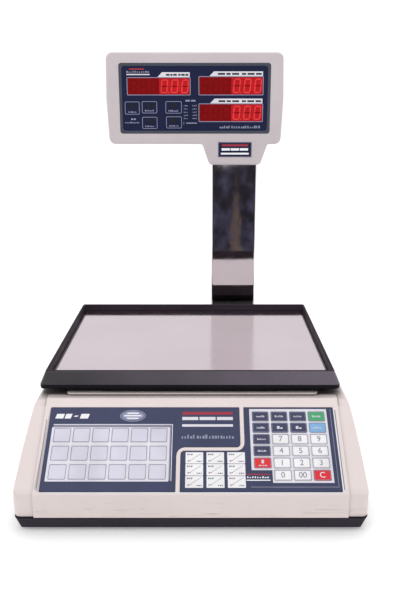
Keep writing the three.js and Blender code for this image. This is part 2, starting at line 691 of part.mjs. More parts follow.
// Thermal head: a finned bar on two arms that swing on one pin.
function makePrintHead() {
  const near = PAPER_NEAR - 2;
  const far = PAPER_FAR + 2;
  const beam = block([PLATEN_X - 12, near, PLATEN_Z + 8], [PLATEN_X + 9, far, PLATEN_Z + 15]);
  const fins = [0, 1, 2, 3, 4].map((index) => {
    const left = PLATEN_X - 10 + index * 4;
    return block([left, PAPER_NEAR, PLATEN_Z + 14], [left + 2, PAPER_FAR, PLATEN_Z + 18]);
  });
  const armShape = roundedOutline([
    [PIVOT_X - 5, PIVOT_Z - 5],
    [PLATEN_X, PLATEN_Z + 9],
    [PLATEN_X, PLATEN_Z + 16],
    [PIVOT_X - 3, PIVOT_Z + 5],
  ], 2, 3);
  const arms = [near, far - 3].map((y) => prismY(armShape, y, y + 3));
  const pin = bar('y', [PIVOT_X, PIVOT_Z], PIN_RADIUS, CHEEK_NEAR - 2, CHEEK_FAR + CHEEK + 2, 16);
  return join(beam, ...fins, ...arms, pin);
}
addPart('print_head', makePrintHead(), 'alloy');

function makeDoor() {
  const edge = 0.5;
  const zone = block([150, DOOR_NEAR + edge, DOOR_LOW + edge],
    [WIDEST, DOOR_FAR - edge, DOOR_HIGH - edge]);
  const skin = cut(housingBody(0), housingBody(WALL)).intersect(zone);
  const slot = block([150, PAPER_NEAR - 1, SLOT_LOW], [WIDEST, PAPER_FAR + 1, SLOT_HIGH]);
  const gripCentre = [halfWidthAt(DOOR_HIGH) + 5.6, DOOR_HIGH - 6];
  const grip = bar('y', gripCentre, 7, GRIP_NEAR, GRIP_FAR, 24);
  return cut(skin, slot, grip);
}
addPart('printer_door', makeDoor(), 'cream');

// ---------------------------------------------------------------- mast
// Outline of the tube, grown across and front to back.
const mastOutline = (growX, growY, radius) =>
  roundedBox(MAST_WIDTH / 2 + growX, MAST_DEPTH / 2 + growY, MAST_X, MAST_Y, radius);

function makeMast() {
  const bore = mastOutline(-MAST_SHEET, -MAST_SHEET, 0.9);
  return prismZ(mastOutline(0, 0, 2.4), MAST_LOW, MAST_HIGH, [bore]);
}
addPart('mast_tube', makeMast(), 'mirror');

function makeMastBracket() {
  const low = FLOOR + GAP;
  const collar = prismZ(mastOutline(4, 4, 3), low, 70);
  const flange = prismZ(roundedBox(52, 17, MAST_X, MAST_Y, 3), low, low + 3);
  return cut(join(collar, flange), prismZ(mastOutline(GAP, GAP, 2.6), low + 3, 90));
}
addPart('mast_bracket', makeMastBracket(), 'zinc');

// ---------------------------------------------------------------- display head
const HEAD_NEAR = MAST_Y - HEAD_DEPTH / 2;
const HEAD_FAR = MAST_Y + HEAD_DEPTH / 2;
const HEAD_HALF = HEAD_WIDTH / 2;
const BADGE_HALF = [25, 11];
const BADGE_Z = 373;

function headOutline(inset) {
  const bulge = 1.6;
  const low = HEAD_LOW + inset;
  const high = HEAD_HIGH - inset;
  const middle = (low + high) / 2;
  const side = HEAD_HALF - inset;
  const corner = Math.max(HEAD_RADIUS - inset, 3);
  const neckLow = inset > 0 ? NECK_LOW - 5 : NECK_LOW;
  const neckCorner = inset > 0 ? 0 : 6;
  return roundedOutline([
    [-side + bulge * 1.6, low, corner],
    [MAST_X - NECK_HALF_TOP + inset, low, 4],
    [MAST_X - NECK_HALF_LOW + inset, neckLow, neckCorner],
    [MAST_X + NECK_HALF_LOW - inset, neckLow, neckCorner],
    [MAST_X + NECK_HALF_TOP - inset, low, 4],
    [side - bulge * 1.6, low, corner],
    [side, middle],
    [side - bulge, high, corner],
    [-side + bulge, high, corner],
    [-side, middle],
  ], 0, 4);
}

// Rounded block of the whole head, its front and rear edges softened.
function headBody() {
  const shape = new THREE.Shape(headOutline(0));
  const geometry = new THREE.ExtrudeGeometry(shape, {
    depth: HEAD_DEPTH - 2 * HEAD_EDGE,
    bevelEnabled: true,
    bevelThickness: HEAD_EDGE,
    bevelSize: HEAD_EDGE,
    bevelOffset: -HEAD_EDGE,
    bevelSegments: 3,
  });
  return toSolid(geometry.rotateX(Math.PI / 2).translate(0, HEAD_FAR - HEAD_EDGE, 0));
}

const screenOutline = (grow, radius) =>
  roundedBox(SCREEN_WIDTH / 2 + grow, SCREEN_HEIGHT / 2 + grow, 0, SCREEN_Z, radius, 4);

// Half of the head: its wall, the screen's recess and, in front, the display and badge openings.
function makeHeadShell(front) {
  const splitNear = front ? HEAD_NEAR - 5 : MAST_Y + GAP / 2;
  const splitFar = front ? MAST_Y - GAP / 2 : HEAD_FAR + 5;
  const half = headBody().intersect(
    block([-WIDEST, splitNear, NECK_LOW - 10], [WIDEST, splitFar, HEAD_HIGH + 10]));
  const hollowNear = HEAD_NEAR + HEAD_WALL + SCREEN_DEEP;
  const cuts = [prismY(headOutline(HEAD_WALL), hollowNear, 2 * MAST_Y - hollowNear)];
  if (front) {
    const windowHalf = (WINDOW_HIGH - WINDOW_LOW) / 2 + GAP;
    const windowMiddle = (WINDOW_HIGH + WINDOW_LOW) / 2;
    const opening = roundedBox(WINDOW_SPAN / 2 + GAP, windowHalf, 0, windowMiddle, 1, 2);
    cuts.push(prismY(screenOutline(GAP, 4), HEAD_NEAR - 5, HEAD_NEAR + SCREEN_DEEP));
    cuts.push(prismY(opening, HEAD_NEAR - 5, HEAD_NEAR + 12));
    cuts.push(centredBlock([MAST_X, HEAD_NEAR, BADGE_Z],
      [2 * (BADGE_HALF[0] + 0.5), 1.6, 2 * (BADGE_HALF[1] + 0.5)]));
  } else {
    cuts.push(prismY(screenOutline(GAP, 4), HEAD_FAR - SCREEN_DEEP, HEAD_FAR + 5));
  }
  return cut(half, ...cuts);
}
addPart('head_front_shell', makeHeadShell(true), 'offWhite');
addPart('head_rear_shell', makeHeadShell(false), 'offWhite');

// Windows of the display, as [left, right, low, high].
const windows = [
  [-98.9, -7.4, 453.5, 477],
  [6.6, 99.9, 453.5, 478.4],
  [6.6, 99.9, 415, 439.6],
];
const windowHoles = windows.map(([left, right, low, high]) =>
  roundedBox((right - left) / 2, (high - low) / 2, (left + right) / 2, (low + high) / 2, 1, 2));
const FILM_SHEET = 0.9;
const FILTER_THICK = 2;
const screenFilm = (near, holes) =>
  prismY(screenOutline(0, 3.7), near, near + FILM_SHEET, holes);
const turnedAbout = (points) => points.map(({ x, y }) => new THREE.Vector2(-x, y)).reverse();
const screenNear = HEAD_NEAR + SCREEN_DEEP - GAP - FILM_SHEET;
addPart('display_film_front', screenFilm(screenNear, windowHoles), 'screenFilm');
addPart('display_film_rear',
  screenFilm(HEAD_FAR - SCREEN_DEEP + GAP, windowHoles.map(turnedAbout)), 'screenFilm');

const filterNear = screenNear + FILM_SHEET + GAP;
const filter = block([-WINDOW_SPAN / 2, filterNear, WINDOW_LOW],
  [WINDOW_SPAN / 2, filterNear + FILTER_THICK, WINDOW_HIGH]);
addPart('display_filter_front', filter, 'red');

function makeDisplayBoard() {
  const near = filterNear + FILTER_THICK + GAP;
  const sheet = block([-108, near + 7, WINDOW_LOW - 7], [108, near + 8.6, WINDOW_HIGH + 8]);
  const blocks = windows.map(([left, right, low, high]) =>
    block([left + 2, near, low + 1], [right - 2, near + 7.4, high - 1]));
  return join(sheet, ...blocks);
}
addPart('display_board', makeDisplayBoard(), 'board');

const badgeOutline = roundedBox(BADGE_HALF[0], BADGE_HALF[1], MAST_X, BADGE_Z, 1, 2);
addPart('neck_badge', prismY(badgeOutline, HEAD_NEAR, HEAD_NEAR + 0.5), 'screenFilm');

export default group;
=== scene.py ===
"""Label printing scale: the looks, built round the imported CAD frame. Metres, +Z up."""

import json
import math
import random

import bmesh
import bpy
from mathutils import Matrix, Vector
from mathutils.geometry import tessellate_polygon


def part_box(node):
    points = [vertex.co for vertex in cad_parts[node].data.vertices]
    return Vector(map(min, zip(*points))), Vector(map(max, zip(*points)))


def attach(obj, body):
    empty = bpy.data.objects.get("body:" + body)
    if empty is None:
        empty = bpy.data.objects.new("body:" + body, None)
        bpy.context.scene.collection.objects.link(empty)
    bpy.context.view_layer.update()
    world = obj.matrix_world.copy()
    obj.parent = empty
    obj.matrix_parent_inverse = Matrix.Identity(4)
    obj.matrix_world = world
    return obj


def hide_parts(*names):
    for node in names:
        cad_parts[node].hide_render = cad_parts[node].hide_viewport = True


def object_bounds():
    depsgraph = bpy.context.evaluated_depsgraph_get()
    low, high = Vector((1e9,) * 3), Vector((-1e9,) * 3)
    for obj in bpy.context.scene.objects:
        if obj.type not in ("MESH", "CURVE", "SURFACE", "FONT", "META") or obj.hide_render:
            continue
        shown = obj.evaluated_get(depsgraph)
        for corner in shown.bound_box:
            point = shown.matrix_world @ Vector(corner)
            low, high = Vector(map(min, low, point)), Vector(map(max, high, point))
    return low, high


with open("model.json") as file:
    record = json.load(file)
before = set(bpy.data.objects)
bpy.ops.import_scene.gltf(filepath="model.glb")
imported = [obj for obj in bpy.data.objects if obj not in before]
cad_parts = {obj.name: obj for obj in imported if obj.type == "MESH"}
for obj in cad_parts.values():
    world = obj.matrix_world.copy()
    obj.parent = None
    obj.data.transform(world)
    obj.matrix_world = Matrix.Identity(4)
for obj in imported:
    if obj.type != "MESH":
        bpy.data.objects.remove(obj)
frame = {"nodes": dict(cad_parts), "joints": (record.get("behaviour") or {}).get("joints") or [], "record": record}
CAD_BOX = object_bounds()
NODES = frame["nodes"]
RECORD = frame["record"]
BODY_OF = {node: body for body, nodes in RECORD["behaviour"]["bodies"].items() for node in nodes}
SLOT_OF = {entry["node"]: entry["material_slot"] for entry in RECORD["subparts"]}
SLOT_COLOUR = {entry["slot"]: tuple(entry["base_color"][:3]) for entry in RECORD["materials"]}
MM = 0.001
COAT_ROUGHNESS = 0.12
RUB_GREY = (0.42, 0.36, 0.33)
DECK_TOP = 112 * MM
DECK_EDGE = 142 * MM  # the deck is level to this distance back
DECK_DROP = 5.5 * MM
random.seed(7)


# ---- materials
def set_all(thing, **values):
    for key, value in values.items():
        setattr(thing, key, value)
    return thing


class Shader:
    """A material's node tree, with short calls for the nodes that the materials share."""

    def __init__(self, name, colour, roughness, metallic=0.0):
        self.material = bpy.data.materials.new(name)
        self.material.use_nodes = True
        self.tree = self.material.node_tree
        self.surface = self.tree.nodes["Principled BSDF"]
        self.set("Base Color", (*colour, 1))
        self.set("Roughness", roughness)
        self.set("Metallic", metallic)
        self.coords = self.node("ShaderNodeTexCoord")["Object"]

    def set(self, socket, value):
        self.surface.inputs[socket].default_value = value

    def drive(self, socket, output):
        self.tree.links.new(output, self.surface.inputs[socket])

    def node(self, kind, inputs=(), **settings):
        """A new node's outputs; each input is given a number, a colour or another node's output."""
        made = set_all(self.tree.nodes.new(kind), **settings)
        for key, value in inputs:
            if isinstance(value, bpy.types.NodeSocket):
                self.tree.links.new(value, made.inputs[key])
            else:
                made.inputs[key].default_value = value
        return made.outputs

    def stretched(self, scale):
        """The object's coordinates, scaled unevenly."""
        return self.node("ShaderNodeMapping", (("Vector", self.coords), ("Scale", scale)))["Vector"]

    def axes(self):
        """The object's X, Y and Z coordinates."""
        return tuple(self.node("ShaderNodeSeparateXYZ", (("Vector", self.coords),)))

    def noise(self, scale, detail, vector=None, rough=0.5):
        return self.node("ShaderNodeTexNoise", (("Scale", scale), ("Detail", detail), ("Roughness", rough),
                                                ("Vector", vector or self.coords)))["Fac"]

    def ranged(self, value, from_low, from_high, to_low, to_high):
        return self.node("ShaderNodeMapRange", (
            ("Value", value), ("From Min", from_low), ("From Max", from_high),
            ("To Min", to_low), ("To Max", to_high)))["Result"]

    def math(self, operation, first, second):
        return self.node("ShaderNodeMath", ((0, first), (1, second)), operation=operation)["Value"]

    def mixed(self, factor, first, second):
        first, second = [(*part, 1) if isinstance(part, tuple) else part for part in (first, second)]
        return self.node("ShaderNodeMix", (("Factor", factor), ("A", first), ("B", second)),
                         data_type="RGBA")["Result"]

    def openness(self, reach):
        """How open a point is within reach: low in creases and under overhangs."""
        return self.node("ShaderNodeAmbientOcclusion", (("Distance", reach),), samples=6)["AO"]

    def drift(self, low, high, scale):
        """A value that wanders between two limits."""
        return self.ranged(self.noise(scale, 4), 0.35, 0.65, low, high)

    def colour_drift(self, low, high, scale):
        """The base colour wanders slowly between two colours."""
        colour = self.mixed(self.drift(0, 1, scale), low, high)
        self.drive("Base Color", colour)
        return colour

    def roughness_drift(self, low, high, scale):
        self.drive("Roughness", self.drift(low, high, scale))

    def bump(self, height, distance, strength):
        made = self.node("ShaderNodeBump", (
            ("Strength", strength), ("Distance", distance), ("Height", height)))
        self.drive("Normal", made["Normal"])


def shade(colour, amount):
    """The colour made lighter or darker, by one factor or by one for each channel."""
    factors = amount if isinstance(amount, tuple) else (amount,) * 3
    return tuple(min(1.0, channel * factor) for channel, factor in zip(colour, factors))


def plain_finish(name, colour, roughness, drift, spread, grain, gloss=0.5, coat=0.0):
    """A surface whose shade (drift) and roughness (spread) wander, with a fine grain on it.

    drift and spread are the least, the most and the scale. grain is the scale, detail, depth and strength.
    """
    made = Shader(name, colour, roughness)
    made.set("Specular IOR Level", gloss)
    if coat:
        made.set("Coat Weight", coat)
        made.set("Coat Roughness", COAT_ROUGHNESS)
    least, most, scale = drift
    made.colour_drift(shade(colour, least), shade(colour, most), scale)
    least, most, scale = spread
    made.roughness_drift(roughness + least, roughness + most, scale)
    scale, detail, depth, strength = grain
    made.bump(made.noise(scale, detail), depth, strength)
    return made.material


def moulded_plastic(name, colour, roughness, grain_scale=1500, gloss=0.5):
    return plain_finish(name, colour, roughness, (0.97, 1.03, 14), (-0.05, 0.06, 40),
                        (grain_scale, 2, 0.00003, 0.5), gloss)


def housing_plastic(name, colour, roughness):
    """Cream moulding: grey rubs low on the front, painted shade in its creases and on the deck under the rim, a
    darker foot and a fine spark-eroded grain.
    """
    made = Shader(name, colour, roughness)
    base = made.colour_drift(shade(colour, 0.965), shade(colour, 1.02), 11.0)
    _, y, z = made.axes()
    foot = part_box("upper_housing")[0]
    near_foot = made.ranged(z, foot.z + 0.006, foot.z + 0.024, 1, 0)
    near_front = made.ranged(y, foot.y + 0.004, foot.y + 0.012, 1, 0)
    streaks = made.noise(1.0, 5, made.stretched((26, 26, 420)), 0.65)
    rubs = made.ranged(streaks, 0.58, 0.70, 0, 0.7)
    mask = made.math("MULTIPLY", made.math("MULTIPLY", near_foot, near_front), rubs)
    wear_and_sheen = made.mixed(mask, base, RUB_GREY)
    foot_shade = made.ranged(z, foot.z + 0.024, foot.z + 0.032, 0.10, 0)
    lower = made.mixed(foot_shade, wear_and_sheen, (0.0, 0.0, 0.0))
    # Painted shade: ambient occlusion darkens the creases, and darkens the deck under the rim almost to black.
    crease = made.ranged(made.openness(0.005), 0.5, 0.95, 0.0, 1)
    crease_shaded = made.mixed(crease, shade(colour, 0.70), lower)
    under_rim = made.ranged(made.openness(0.03), 0.52, 0.94, 0.0, 1)
    below_deck = made.ranged(z, DECK_TOP - 0.006, DECK_TOP - 0.002, 1, 0)
    out_of_rim_shade = made.math("MAXIMUM", under_rim, below_deck)
    made.drive("Base Color", made.mixed(out_of_rim_shade, shade(colour, 0.08), crease_shaded))
    made.roughness_drift(roughness - 0.05, roughness + 0.07, 60)
    made.bump(made.noise(1700, 2), 0.00003, 0.45)
    return made.material


def gloss_plastic(name, colour, roughness, coat=0.3, gloss=0.5):
    return plain_finish(name, colour, roughness, (0.9, 1.12, 20), (-0.03, 0.07, 55),
                        (160, 2, 0.00002, 0.15), gloss, coat)


def rim_plastic(name, colour):
    """The rim's black moulding with a painted sheen: greyer towards the right and darker towards the left, as
    light falls.
    """
    made = Shader(name, colour, 0.30)
    made.set("Coat Weight", 0.3)
    made.set("Coat Roughness", COAT_ROUGHNESS)
    x, _, _ = made.axes()
    # Painted light: the black runs from a darker shade on the left to a lighter one on the right.
    aside = made.math("ADD", x, made.drift(-0.02, 0.02, 20))
    wear_and_sheen = made.ranged(aside, -0.15, 0.15, 0, 1)
    made.drive("Base Color", made.mixed(wear_and_sheen, shade(colour, 0.42), shade(colour, 1.75)))
    made.roughness_drift(0.27, 0.37, 55)
    return made.material


def printed_film(name, colour, roughness, gloss=0.3):
    """Polyester film: a faint orange peel, and handling marks in the gloss."""
    return plain_finish(name, colour, roughness, (0.94, 1.06, 26), (-0.06, 0.08, 45),
                        (700, 2, 0.00002, 0.4), gloss)


def brushed_metal(name, colour, low, high, along=0, grain=0.000012):
    """Metal with fine lines along one axis."""
    made = Shader(name, colour, (low + high) / 2, 1.0)
    scale = [2600.0] * 3
    scale[along] = 14.0
    lines = made.noise(1.0, 4, made.stretched(tuple(scale)), 0.6)
    made.drive("Roughness", made.ranged(lines, 0.3, 0.7, low, high))
    tint = made.ranged(made.noise(7, 3), 0.3, 0.7, 0, 1)
    made.drive("Base Color", made.mixed(tint, shade(colour, 0.97), shade(colour, 1.02)))
    made.bump(lines, grain, 0.35)
    return made.material


def polished_sheet(name, colour):
    """Bright-rolled steel sheet: nearly a mirror, dulled by wiping and wavy by a hair."""
    made = Shader(name, colour, 0.1, 1.0)
    made.colour_drift(shade(colour, 0.97), shade(colour, 1.02), 9)
    wipes = made.noise(1.0, 4, made.stretched((14, 60, 30)), 0.6)
    made.drive("Roughness", made.ranged(wipes, 0.3, 0.7, 0.08, 0.17))
    made.bump(made.noise(11, 2), 0.0004, 0.08)
    return made.material


def polished_metal(name, colour):
    """Mirror-polished tube: hairline wipe marks along its length and dull finger smears."""
    made = Shader(name, colour, 0.05, 1.0)
    hairs = made.ranged(made.noise(1.0, 5, made.stretched((900, 900, 9)), 0.7), 0.45, 0.8, 0.03, 0.07)
    smears = made.ranged(made.noise(30, 4), 0.5, 0.75, 0, 0.06)
    made.drive("Roughness", made.math("ADD", hairs, smears))
    made.bump(made.noise(9, 2), 0.0006, 0.10)
    return made.material


def rubber_compound(name, colour):
    return plain_finish(name, colour, 0.8, (0.85, 1.25, 60), (-0.1, 0.08, 90), (900, 3, 0.00006, 0.6))


def circuit_laminate(name, colour):
    """Solder mask with the tracks standing through it as a finer, lighter network."""
    made = Shader(name, colour, 0.35)
    cells = made.node("ShaderNodeTexVoronoi", (("Scale", 180), ("Vector", made.coords)),
                      feature="DISTANCE_TO_EDGE")
    tracks = made.ranged(cells["Distance"], 0.02, 0.06, 1, 0)
    made.drive("Base Color", made.mixed(tracks, colour, shade(colour, 2.0)))
    made.roughness_drift(0.25, 0.42, 80)
    made.bump(tracks, 0.00003, 0.5)
    return made.material


def label_stock(name, colour):
    return plain_finish(name, colour, 0.85, (0.96, 1.02, 120), (-0.07, 0.07, 200), (1800, 3, 0.00002, 0.5))


def glowing(name, colour, roughness=0.3):
    """Tinted plastic lit from behind: the glow carries the colour, and the surface keeps its gloss."""
    made = Shader(name, shade(colour, 0.12), roughness)
    made.set("Specular IOR Level", 0.06)
    made.colour_drift(shade(colour, 0.1), shade(colour, 0.15), 200)
    made.roughness_drift(roughness - 0.05, roughness + 0.08, 60)
    made.drive("Emission Strength", made.ranged(made.noise(55, 3), 0.3, 0.7, 0.88, 1.1))
    made.set("Emission Color", (*colour, 1))
    made.bump(made.noise(300, 2), 0.00001, 0.2)
    return made.material


FINISHES = {
    "cream_housing": lambda n, c: housing_plastic(n, shade(c, (1.0, 0.955, 0.975)), 0.46),
    "head_shell": lambda n, c: moulded_plastic(n, shade(c, (0.90, 0.86, 0.87)), 0.45),
    "black_tray": lambda n, c: moulded_plastic(n, shade(c, (0.80, 0.58, 0.84)), 0.42, 1100, 0.2),
    "rim_black": lambda n, c: rim_plastic(n, (0.068, 0.054, 0.074)),
    "platter_steel": lambda n, c: polished_sheet(n, (0.82, 0.725, 0.78)),
    "mast_mirror": lambda n, c: polished_metal(n, shade(c, (0.97, 0.92, 0.90))),
    "film_navy": lambda n, c: printed_film(n, shade(c, 0.72), 0.36, 0.25),
    "screen_navy": lambda n, c: printed_film(n, shade(c, 0.45), 0.3, 0.2),
    "window_red": lambda n, c: glowing(n, (0.20, 0.003, 0.004)),
    "led_digits": lambda n, c: glowing(n, (0.74, 0.055, 0.05), 0.4),
    "print_white": lambda n, c: printed_film(n, c, 0.4),
    "key_white": lambda n, c: printed_film(n, c, 0.36),
    "rubber": rubber_compound,
    "circuit_board": circuit_laminate,
    "cast_alloy": lambda n, c: brushed_metal(n, c, 0.34, 0.46, 1),
    "bracket_steel": lambda n, c: brushed_metal(n, c, 0.36, 0.5, 0, 0.00002),
    "level_vial": lambda n, c: gloss_plastic(n, c, 0.12),
    "label_paper": label_stock,
}
FINISHES |= {f"key_{ink}": lambda n, c: printed_film(n, c, 0.34)
             for ink in ("navy", "green", "blue", "red")}
MATERIALS = {slot: make(slot, SLOT_COLOUR[slot]) for slot, make in FINISHES.items()}
INKS = {
    "print_field": (0.72, 0.70, 0.77),
    "print_lilac": (0.66, 0.64, 0.75),
    "print_shadow": (0.25, 0.24, 0.33),
    "print_line": (0.30, 0.31, 0.45),
    "print_dark": (0.006, 0.006, 0.012),
    "print_grey": (0.20, 0.20, 0.26),
    "print_pale": (0.27, 0.29, 0.40),
    "print_red": (0.34, 0.03, 0.05),
}
MATERIALS |= {name: printed_film(name, colour, 0.4) for name, colour in INKS.items()}
for make, name, *look in (
        (glowing, "glow_lit", (0.45, 0.010, 0.015)),
        (glowing, "segment_unlit", (0.155, 0.002, 0.003)),
        # Painted shade: the dark grey of the lip round the screens, for the shade of their recess.
        (moulded_plastic, "bezel_grey", (0.045, 0.052, 0.078), 0.45),
        # Painted shade: the grey of the shaded wall of the films' recess.
        (moulded_plastic, "edge_grey", (0.50, 0.45, 0.46), 0.5),
        # Painted shade: the near black in the vents, for the shade inside them.
        (moulded_plastic, "slot_dark", (0.016, 0.016, 0.018), 0.6),
        # Painted shade: darker copies of the rim's black, for its faces in shade.
        (gloss_plastic, "rim_shadow", (0.008, 0.007, 0.010), 0.4, 0.0, 0.08),
        (gloss_plastic, "rim_lip", (0.030, 0.022, 0.030), 0.42, 0.0, 0.08)):
    MATERIALS[name] = make(name, *look)


# ---- mesh tools
def finish_mesh(bm, name, smooth_angle=35):
    bmesh.ops.recalc_face_normals(bm, faces=bm.faces)
    mesh = bpy.data.meshes.new(name)
    bm.to_mesh(mesh)
    bm.free()
    mesh.polygons.foreach_set("use_smooth", [True] * len(mesh.polygons))
    mesh.set_sharp_from_angle(angle=math.radians(smooth_angle))
    return mesh


def in_scene(name, data):
    """A new object for the data, linked to the scene."""
    made = bpy.data.objects.new(name, data)
    bpy.context.scene.collection.objects.link(made)
    return made


def evaluated(holder):
    """A new mesh of what the object's modifiers or its text make."""
    bpy.context.view_layer.update()
    graph = bpy.context.evaluated_depsgraph_get()
    return bpy.data.meshes.new_from_object(holder.evaluated_get(graph))


def add_piece(name, mesh, body, slot, material=None, stands_for=()):
    """A visible piece: on a body, with its slot and material, and the nodes that it stands for."""
    piece = in_scene(name, mesh)
    mesh.materials.clear()
    mesh.materials.append(MATERIALS[material or slot])
    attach(piece, body)
    if stands_for:
        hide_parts(*stands_for)
    return piece


def extent(node, axes=(0, 1)):
    """A node's middle and half size along two axes, then its lowest and highest corners."""
    low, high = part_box(node)
    middle, half = [tuple((high[i] + sign * low[i]) / 2 for i in axes) for sign in (1, -1)]
    return middle, half, low, high


def carved(node, cutting=None):
    """The node's mesh, with the closed shapes of a bmesh taken out of it."""
    mesh = NODES[node].data
    if cutting is None:
        return mesh
    tool = in_scene("cutting", finish_mesh(cutting, "cutting"))
    block = in_scene("carving", mesh.copy())
    set_all(block.modifiers.new("opening", "BOOLEAN"), operation="DIFFERENCE", solver="EXACT", object=tool)
    result = evaluated(block)
    for holder in (tool, block):
        bpy.data.objects.remove(holder)
    return result


def add_box(bm, low, high):
    """A closed box between two corners, in millimetres."""
    corners = [bm.verts.new((x * MM, y * MM, z * MM))
               for z in (low[2], high[2]) for y in (low[1], high[1]) for x in (low[0], high[0])]
    for face in ((0, 2, 3, 1), (4, 5, 7, 6), (0, 1, 5, 4), (2, 6, 7, 3), (0, 4, 6, 2), (1, 3, 7, 5)):
        bm.faces.new([corners[i] for i in face])


def soft_copy(node, width=0.0, segments=2, suffix="_skin", cutting=None):
    """Stands for the node: its sharp edges rounded, or without a width its bends shaded round."""
    bm = bmesh.new()
    bm.from_mesh(carved(node, cutting))
    bmesh.ops.remove_doubles(bm, verts=bm.verts, dist=2e-6)
    if width:
        bmesh.ops.dissolve_limit(bm, angle_limit=math.radians(0.8), verts=bm.verts, edges=bm.edges)
    mesh = finish_mesh(bm, node + suffix, 35 if width else 40)
    piece = add_piece(node + suffix, mesh, BODY_OF[node], SLOT_OF[node], stands_for=(node,))
    if width:
        set_all(piece.modifiers.new("rounding", "BEVEL"), width=width, segments=segments,
                limit_method="ANGLE", angle_limit=math.radians(32), use_clamp_overlap=False,
                miter_outer="MITER_ARC")
    set_all(piece.modifiers.new("weighted", "WEIGHTED_NORMAL"), keep_sharp=True)
    baked = evaluated(piece)
    piece.modifiers.clear()
    piece.data = baked


def rounded_rectangle(centre, half, radius, steps=5):
    """Points round a rectangle, anticlockwise from the lower right corner."""
    points = []
    radius = min(radius, half[0] * 0.999, half[1] * 0.999)
    for quarter, (side_x, side_y) in enumerate(((1, -1), (1, 1), (-1, 1), (-1, -1))):
        corner = (centre[0] + side_x * (half[0] - radius), centre[1] + side_y * (half[1] - radius))
        start = -math.pi / 2 + quarter * math.pi / 2
        for step in range(steps + 1):
            turn = start + math.pi / 2 * step / steps
            points.append((corner[0] + radius * math.cos(turn), corner[1] + radius * math.sin(turn)))
    return points


def disc(centre, radius, sides, squash=1.0):
    """Points round a circle, or round an oval flattened by squash."""
    return [(centre[0] + radius * math.cos(2 * math.pi * i / sides),
             centre[1] + radius * squash * math.sin(2 * math.pi * i / sides)) for i in range(sides)]


def bridge(bm, loops, closed=True):
    """Walls from each ring of corners to the next, and if closed from the last to the first."""
    for one, two in zip(loops, loops[1:] + loops[:1] if closed else loops[1:]):
        for i in range(len(one)):
            after = (i + 1) % len(one)
            bm.faces.new((one[i], one[after], two[after], two[i]))


def slab(bm, points, low, high, place):
    """Closed plate of an outline; place turns (x, y, height) into a point of the frame."""
    lower, upper = [[bm.verts.new(place(x, y, level)) for x, y in points] for level in (low, high)]
    bm.faces.new(list(reversed(lower)))
    bm.faces.new(upper)
    bridge(bm, [lower, upper], closed=False)


def ring_slab(bm, outer, inner, low, high, place):
    """Closed plate between two outlines of equal point count."""
    bridge(bm, [[bm.verts.new(place(x, y, z)) for x, y in points]
                for points, z in ((outer, low), (outer, high), (inner, high), (inner, low))])


def holed_slab(bm, outer, holes, low, high, place):
    """Closed plate of an outline with openings."""
    loops = [outer, *holes]
    flat = [point for loop in loops for point in loop]
    lower, upper = [[bm.verts.new(place(x, y, level)) for x, y in flat] for level in (low, high)]
    for a, b, c in tessellate_polygon([[Vector((x, y, 0)) for x, y in loop] for loop in loops]):
        bm.faces.new((upper[a], upper[b], upper[c]))
        bm.faces.new((lower[c], lower[b], lower[a]))
    first = 0
    for loop in loops:
        after = first + len(loop)
        bridge(bm, [lower[first:after], upper[first:after]], closed=False)
        first = after


def box_outline(left, right, low, high, radius):
    return rounded_rectangle(((left + right) / 2, (low + high) / 2),
                             ((right - left) / 2, (high - low) / 2), radius, 3)


INK_LIFT = 0.04  # an ink layer's underside above its level, mm
INK_SLOTS = {"print_red": "key_red", "print_dark": "screen_navy", "glow_lit": "window_red",
             "segment_unlit": "window_red", "edge_grey": "cream_housing", "slot_dark": "cream_housing"}


class Print:
    """Thin ink layers on a film: shapes gathered into one piece."""

    def __init__(self, name, ink, place, level=0.0, thick=0.05, slot=None, body="base"):
        self.name, self.ink, self.body, self.place = name, ink, body, place
        self.slot = slot or INK_SLOTS.get(ink, ink if ink in FINISHES else "print_white")
        self.low, self.high = level + INK_LIFT, level + INK_LIFT + thick
        self.bm = bmesh.new()

    def shape(self, points):
        slab(self.bm, points, self.low, self.high, self.place)

    def box(self, left, right, low, high, radius):
        self.shape(box_outline(left, right, low, high, radius))

    def ring(self, outer, inner):
        ring_slab(self.bm, outer, inner, self.low, self.high, self.place)

    def outline(self, left, right, low, high, radius, line):
        self.ring(box_outline(left, right, low, high, radius),
                  box_outline(left + line, right - line, low + line, high - line, max(radius - line, 0.1)))

    def dashes(self, left, right, middle, height, gaps):
        """A row of short marks that stands for a line of print."""
        total = sum(gaps)
        x = left
        for index, share in enumerate(gaps):
            length = (right - left) * share / total
            if index % 2 == 0:
                self.box(x, x + length, middle - height / 2, middle + height / 2, 0.15)
            x += length

    def fine_print(self, left, right, middle, height, words):
        """Words of short upright strokes that say nothing: print too small to read."""
        gap = 1.1
        strokes = sum(words)
        pitch = (right - left + gap - gap * len(words)) / strokes
        x = left
        for count in words:
            for _ in range(count):
                tall = height * random.choice((0.6, 0.75, 1.0))
                self.box(x, x + pitch * random.choice((0.5, 0.72)), middle - height / 2,
                         middle - height / 2 + tall, 0.1)
                x += pitch
            x += gap

    def done(self):
        add_piece(self.name, finish_mesh(self.bm, self.name), self.body, self.slot, self.ink)


def finish(*prints):
    """Makes the pieces of these prints, in this order."""
    for made in prints:
        made.done()


def print_boxes(name, ink, place, *boxes, level=0.0, thick=0.05):
    """A print of nothing but boxes: left, right, low, high and corner radius."""
    made = Print(name, ink, place, level, thick)
    for box in boxes:
        made.box(*box)
    made.done()


def text_piece(name, text, place_matrix, body, slot, material):
    """Generic digits, set flat in the plane of place_matrix."""
    curve = set_all(bpy.data.curves.new(name, "FONT"), body=text, size=DIGIT_SIZE, align_x="CENTER",
                    align_y="CENTER", extrude=0.03 * MM, space_character=0.95, resolution_u=4)
    holder = in_scene(name + "_source", curve)
    mesh = evaluated(holder)
    bpy.data.objects.remove(holder)
    mesh.transform(place_matrix @ Matrix.Diagonal((DIGIT_STRETCH, 1, 1, 1)))
    mesh.name = name
    add_piece(name, mesh, body, slot, material)


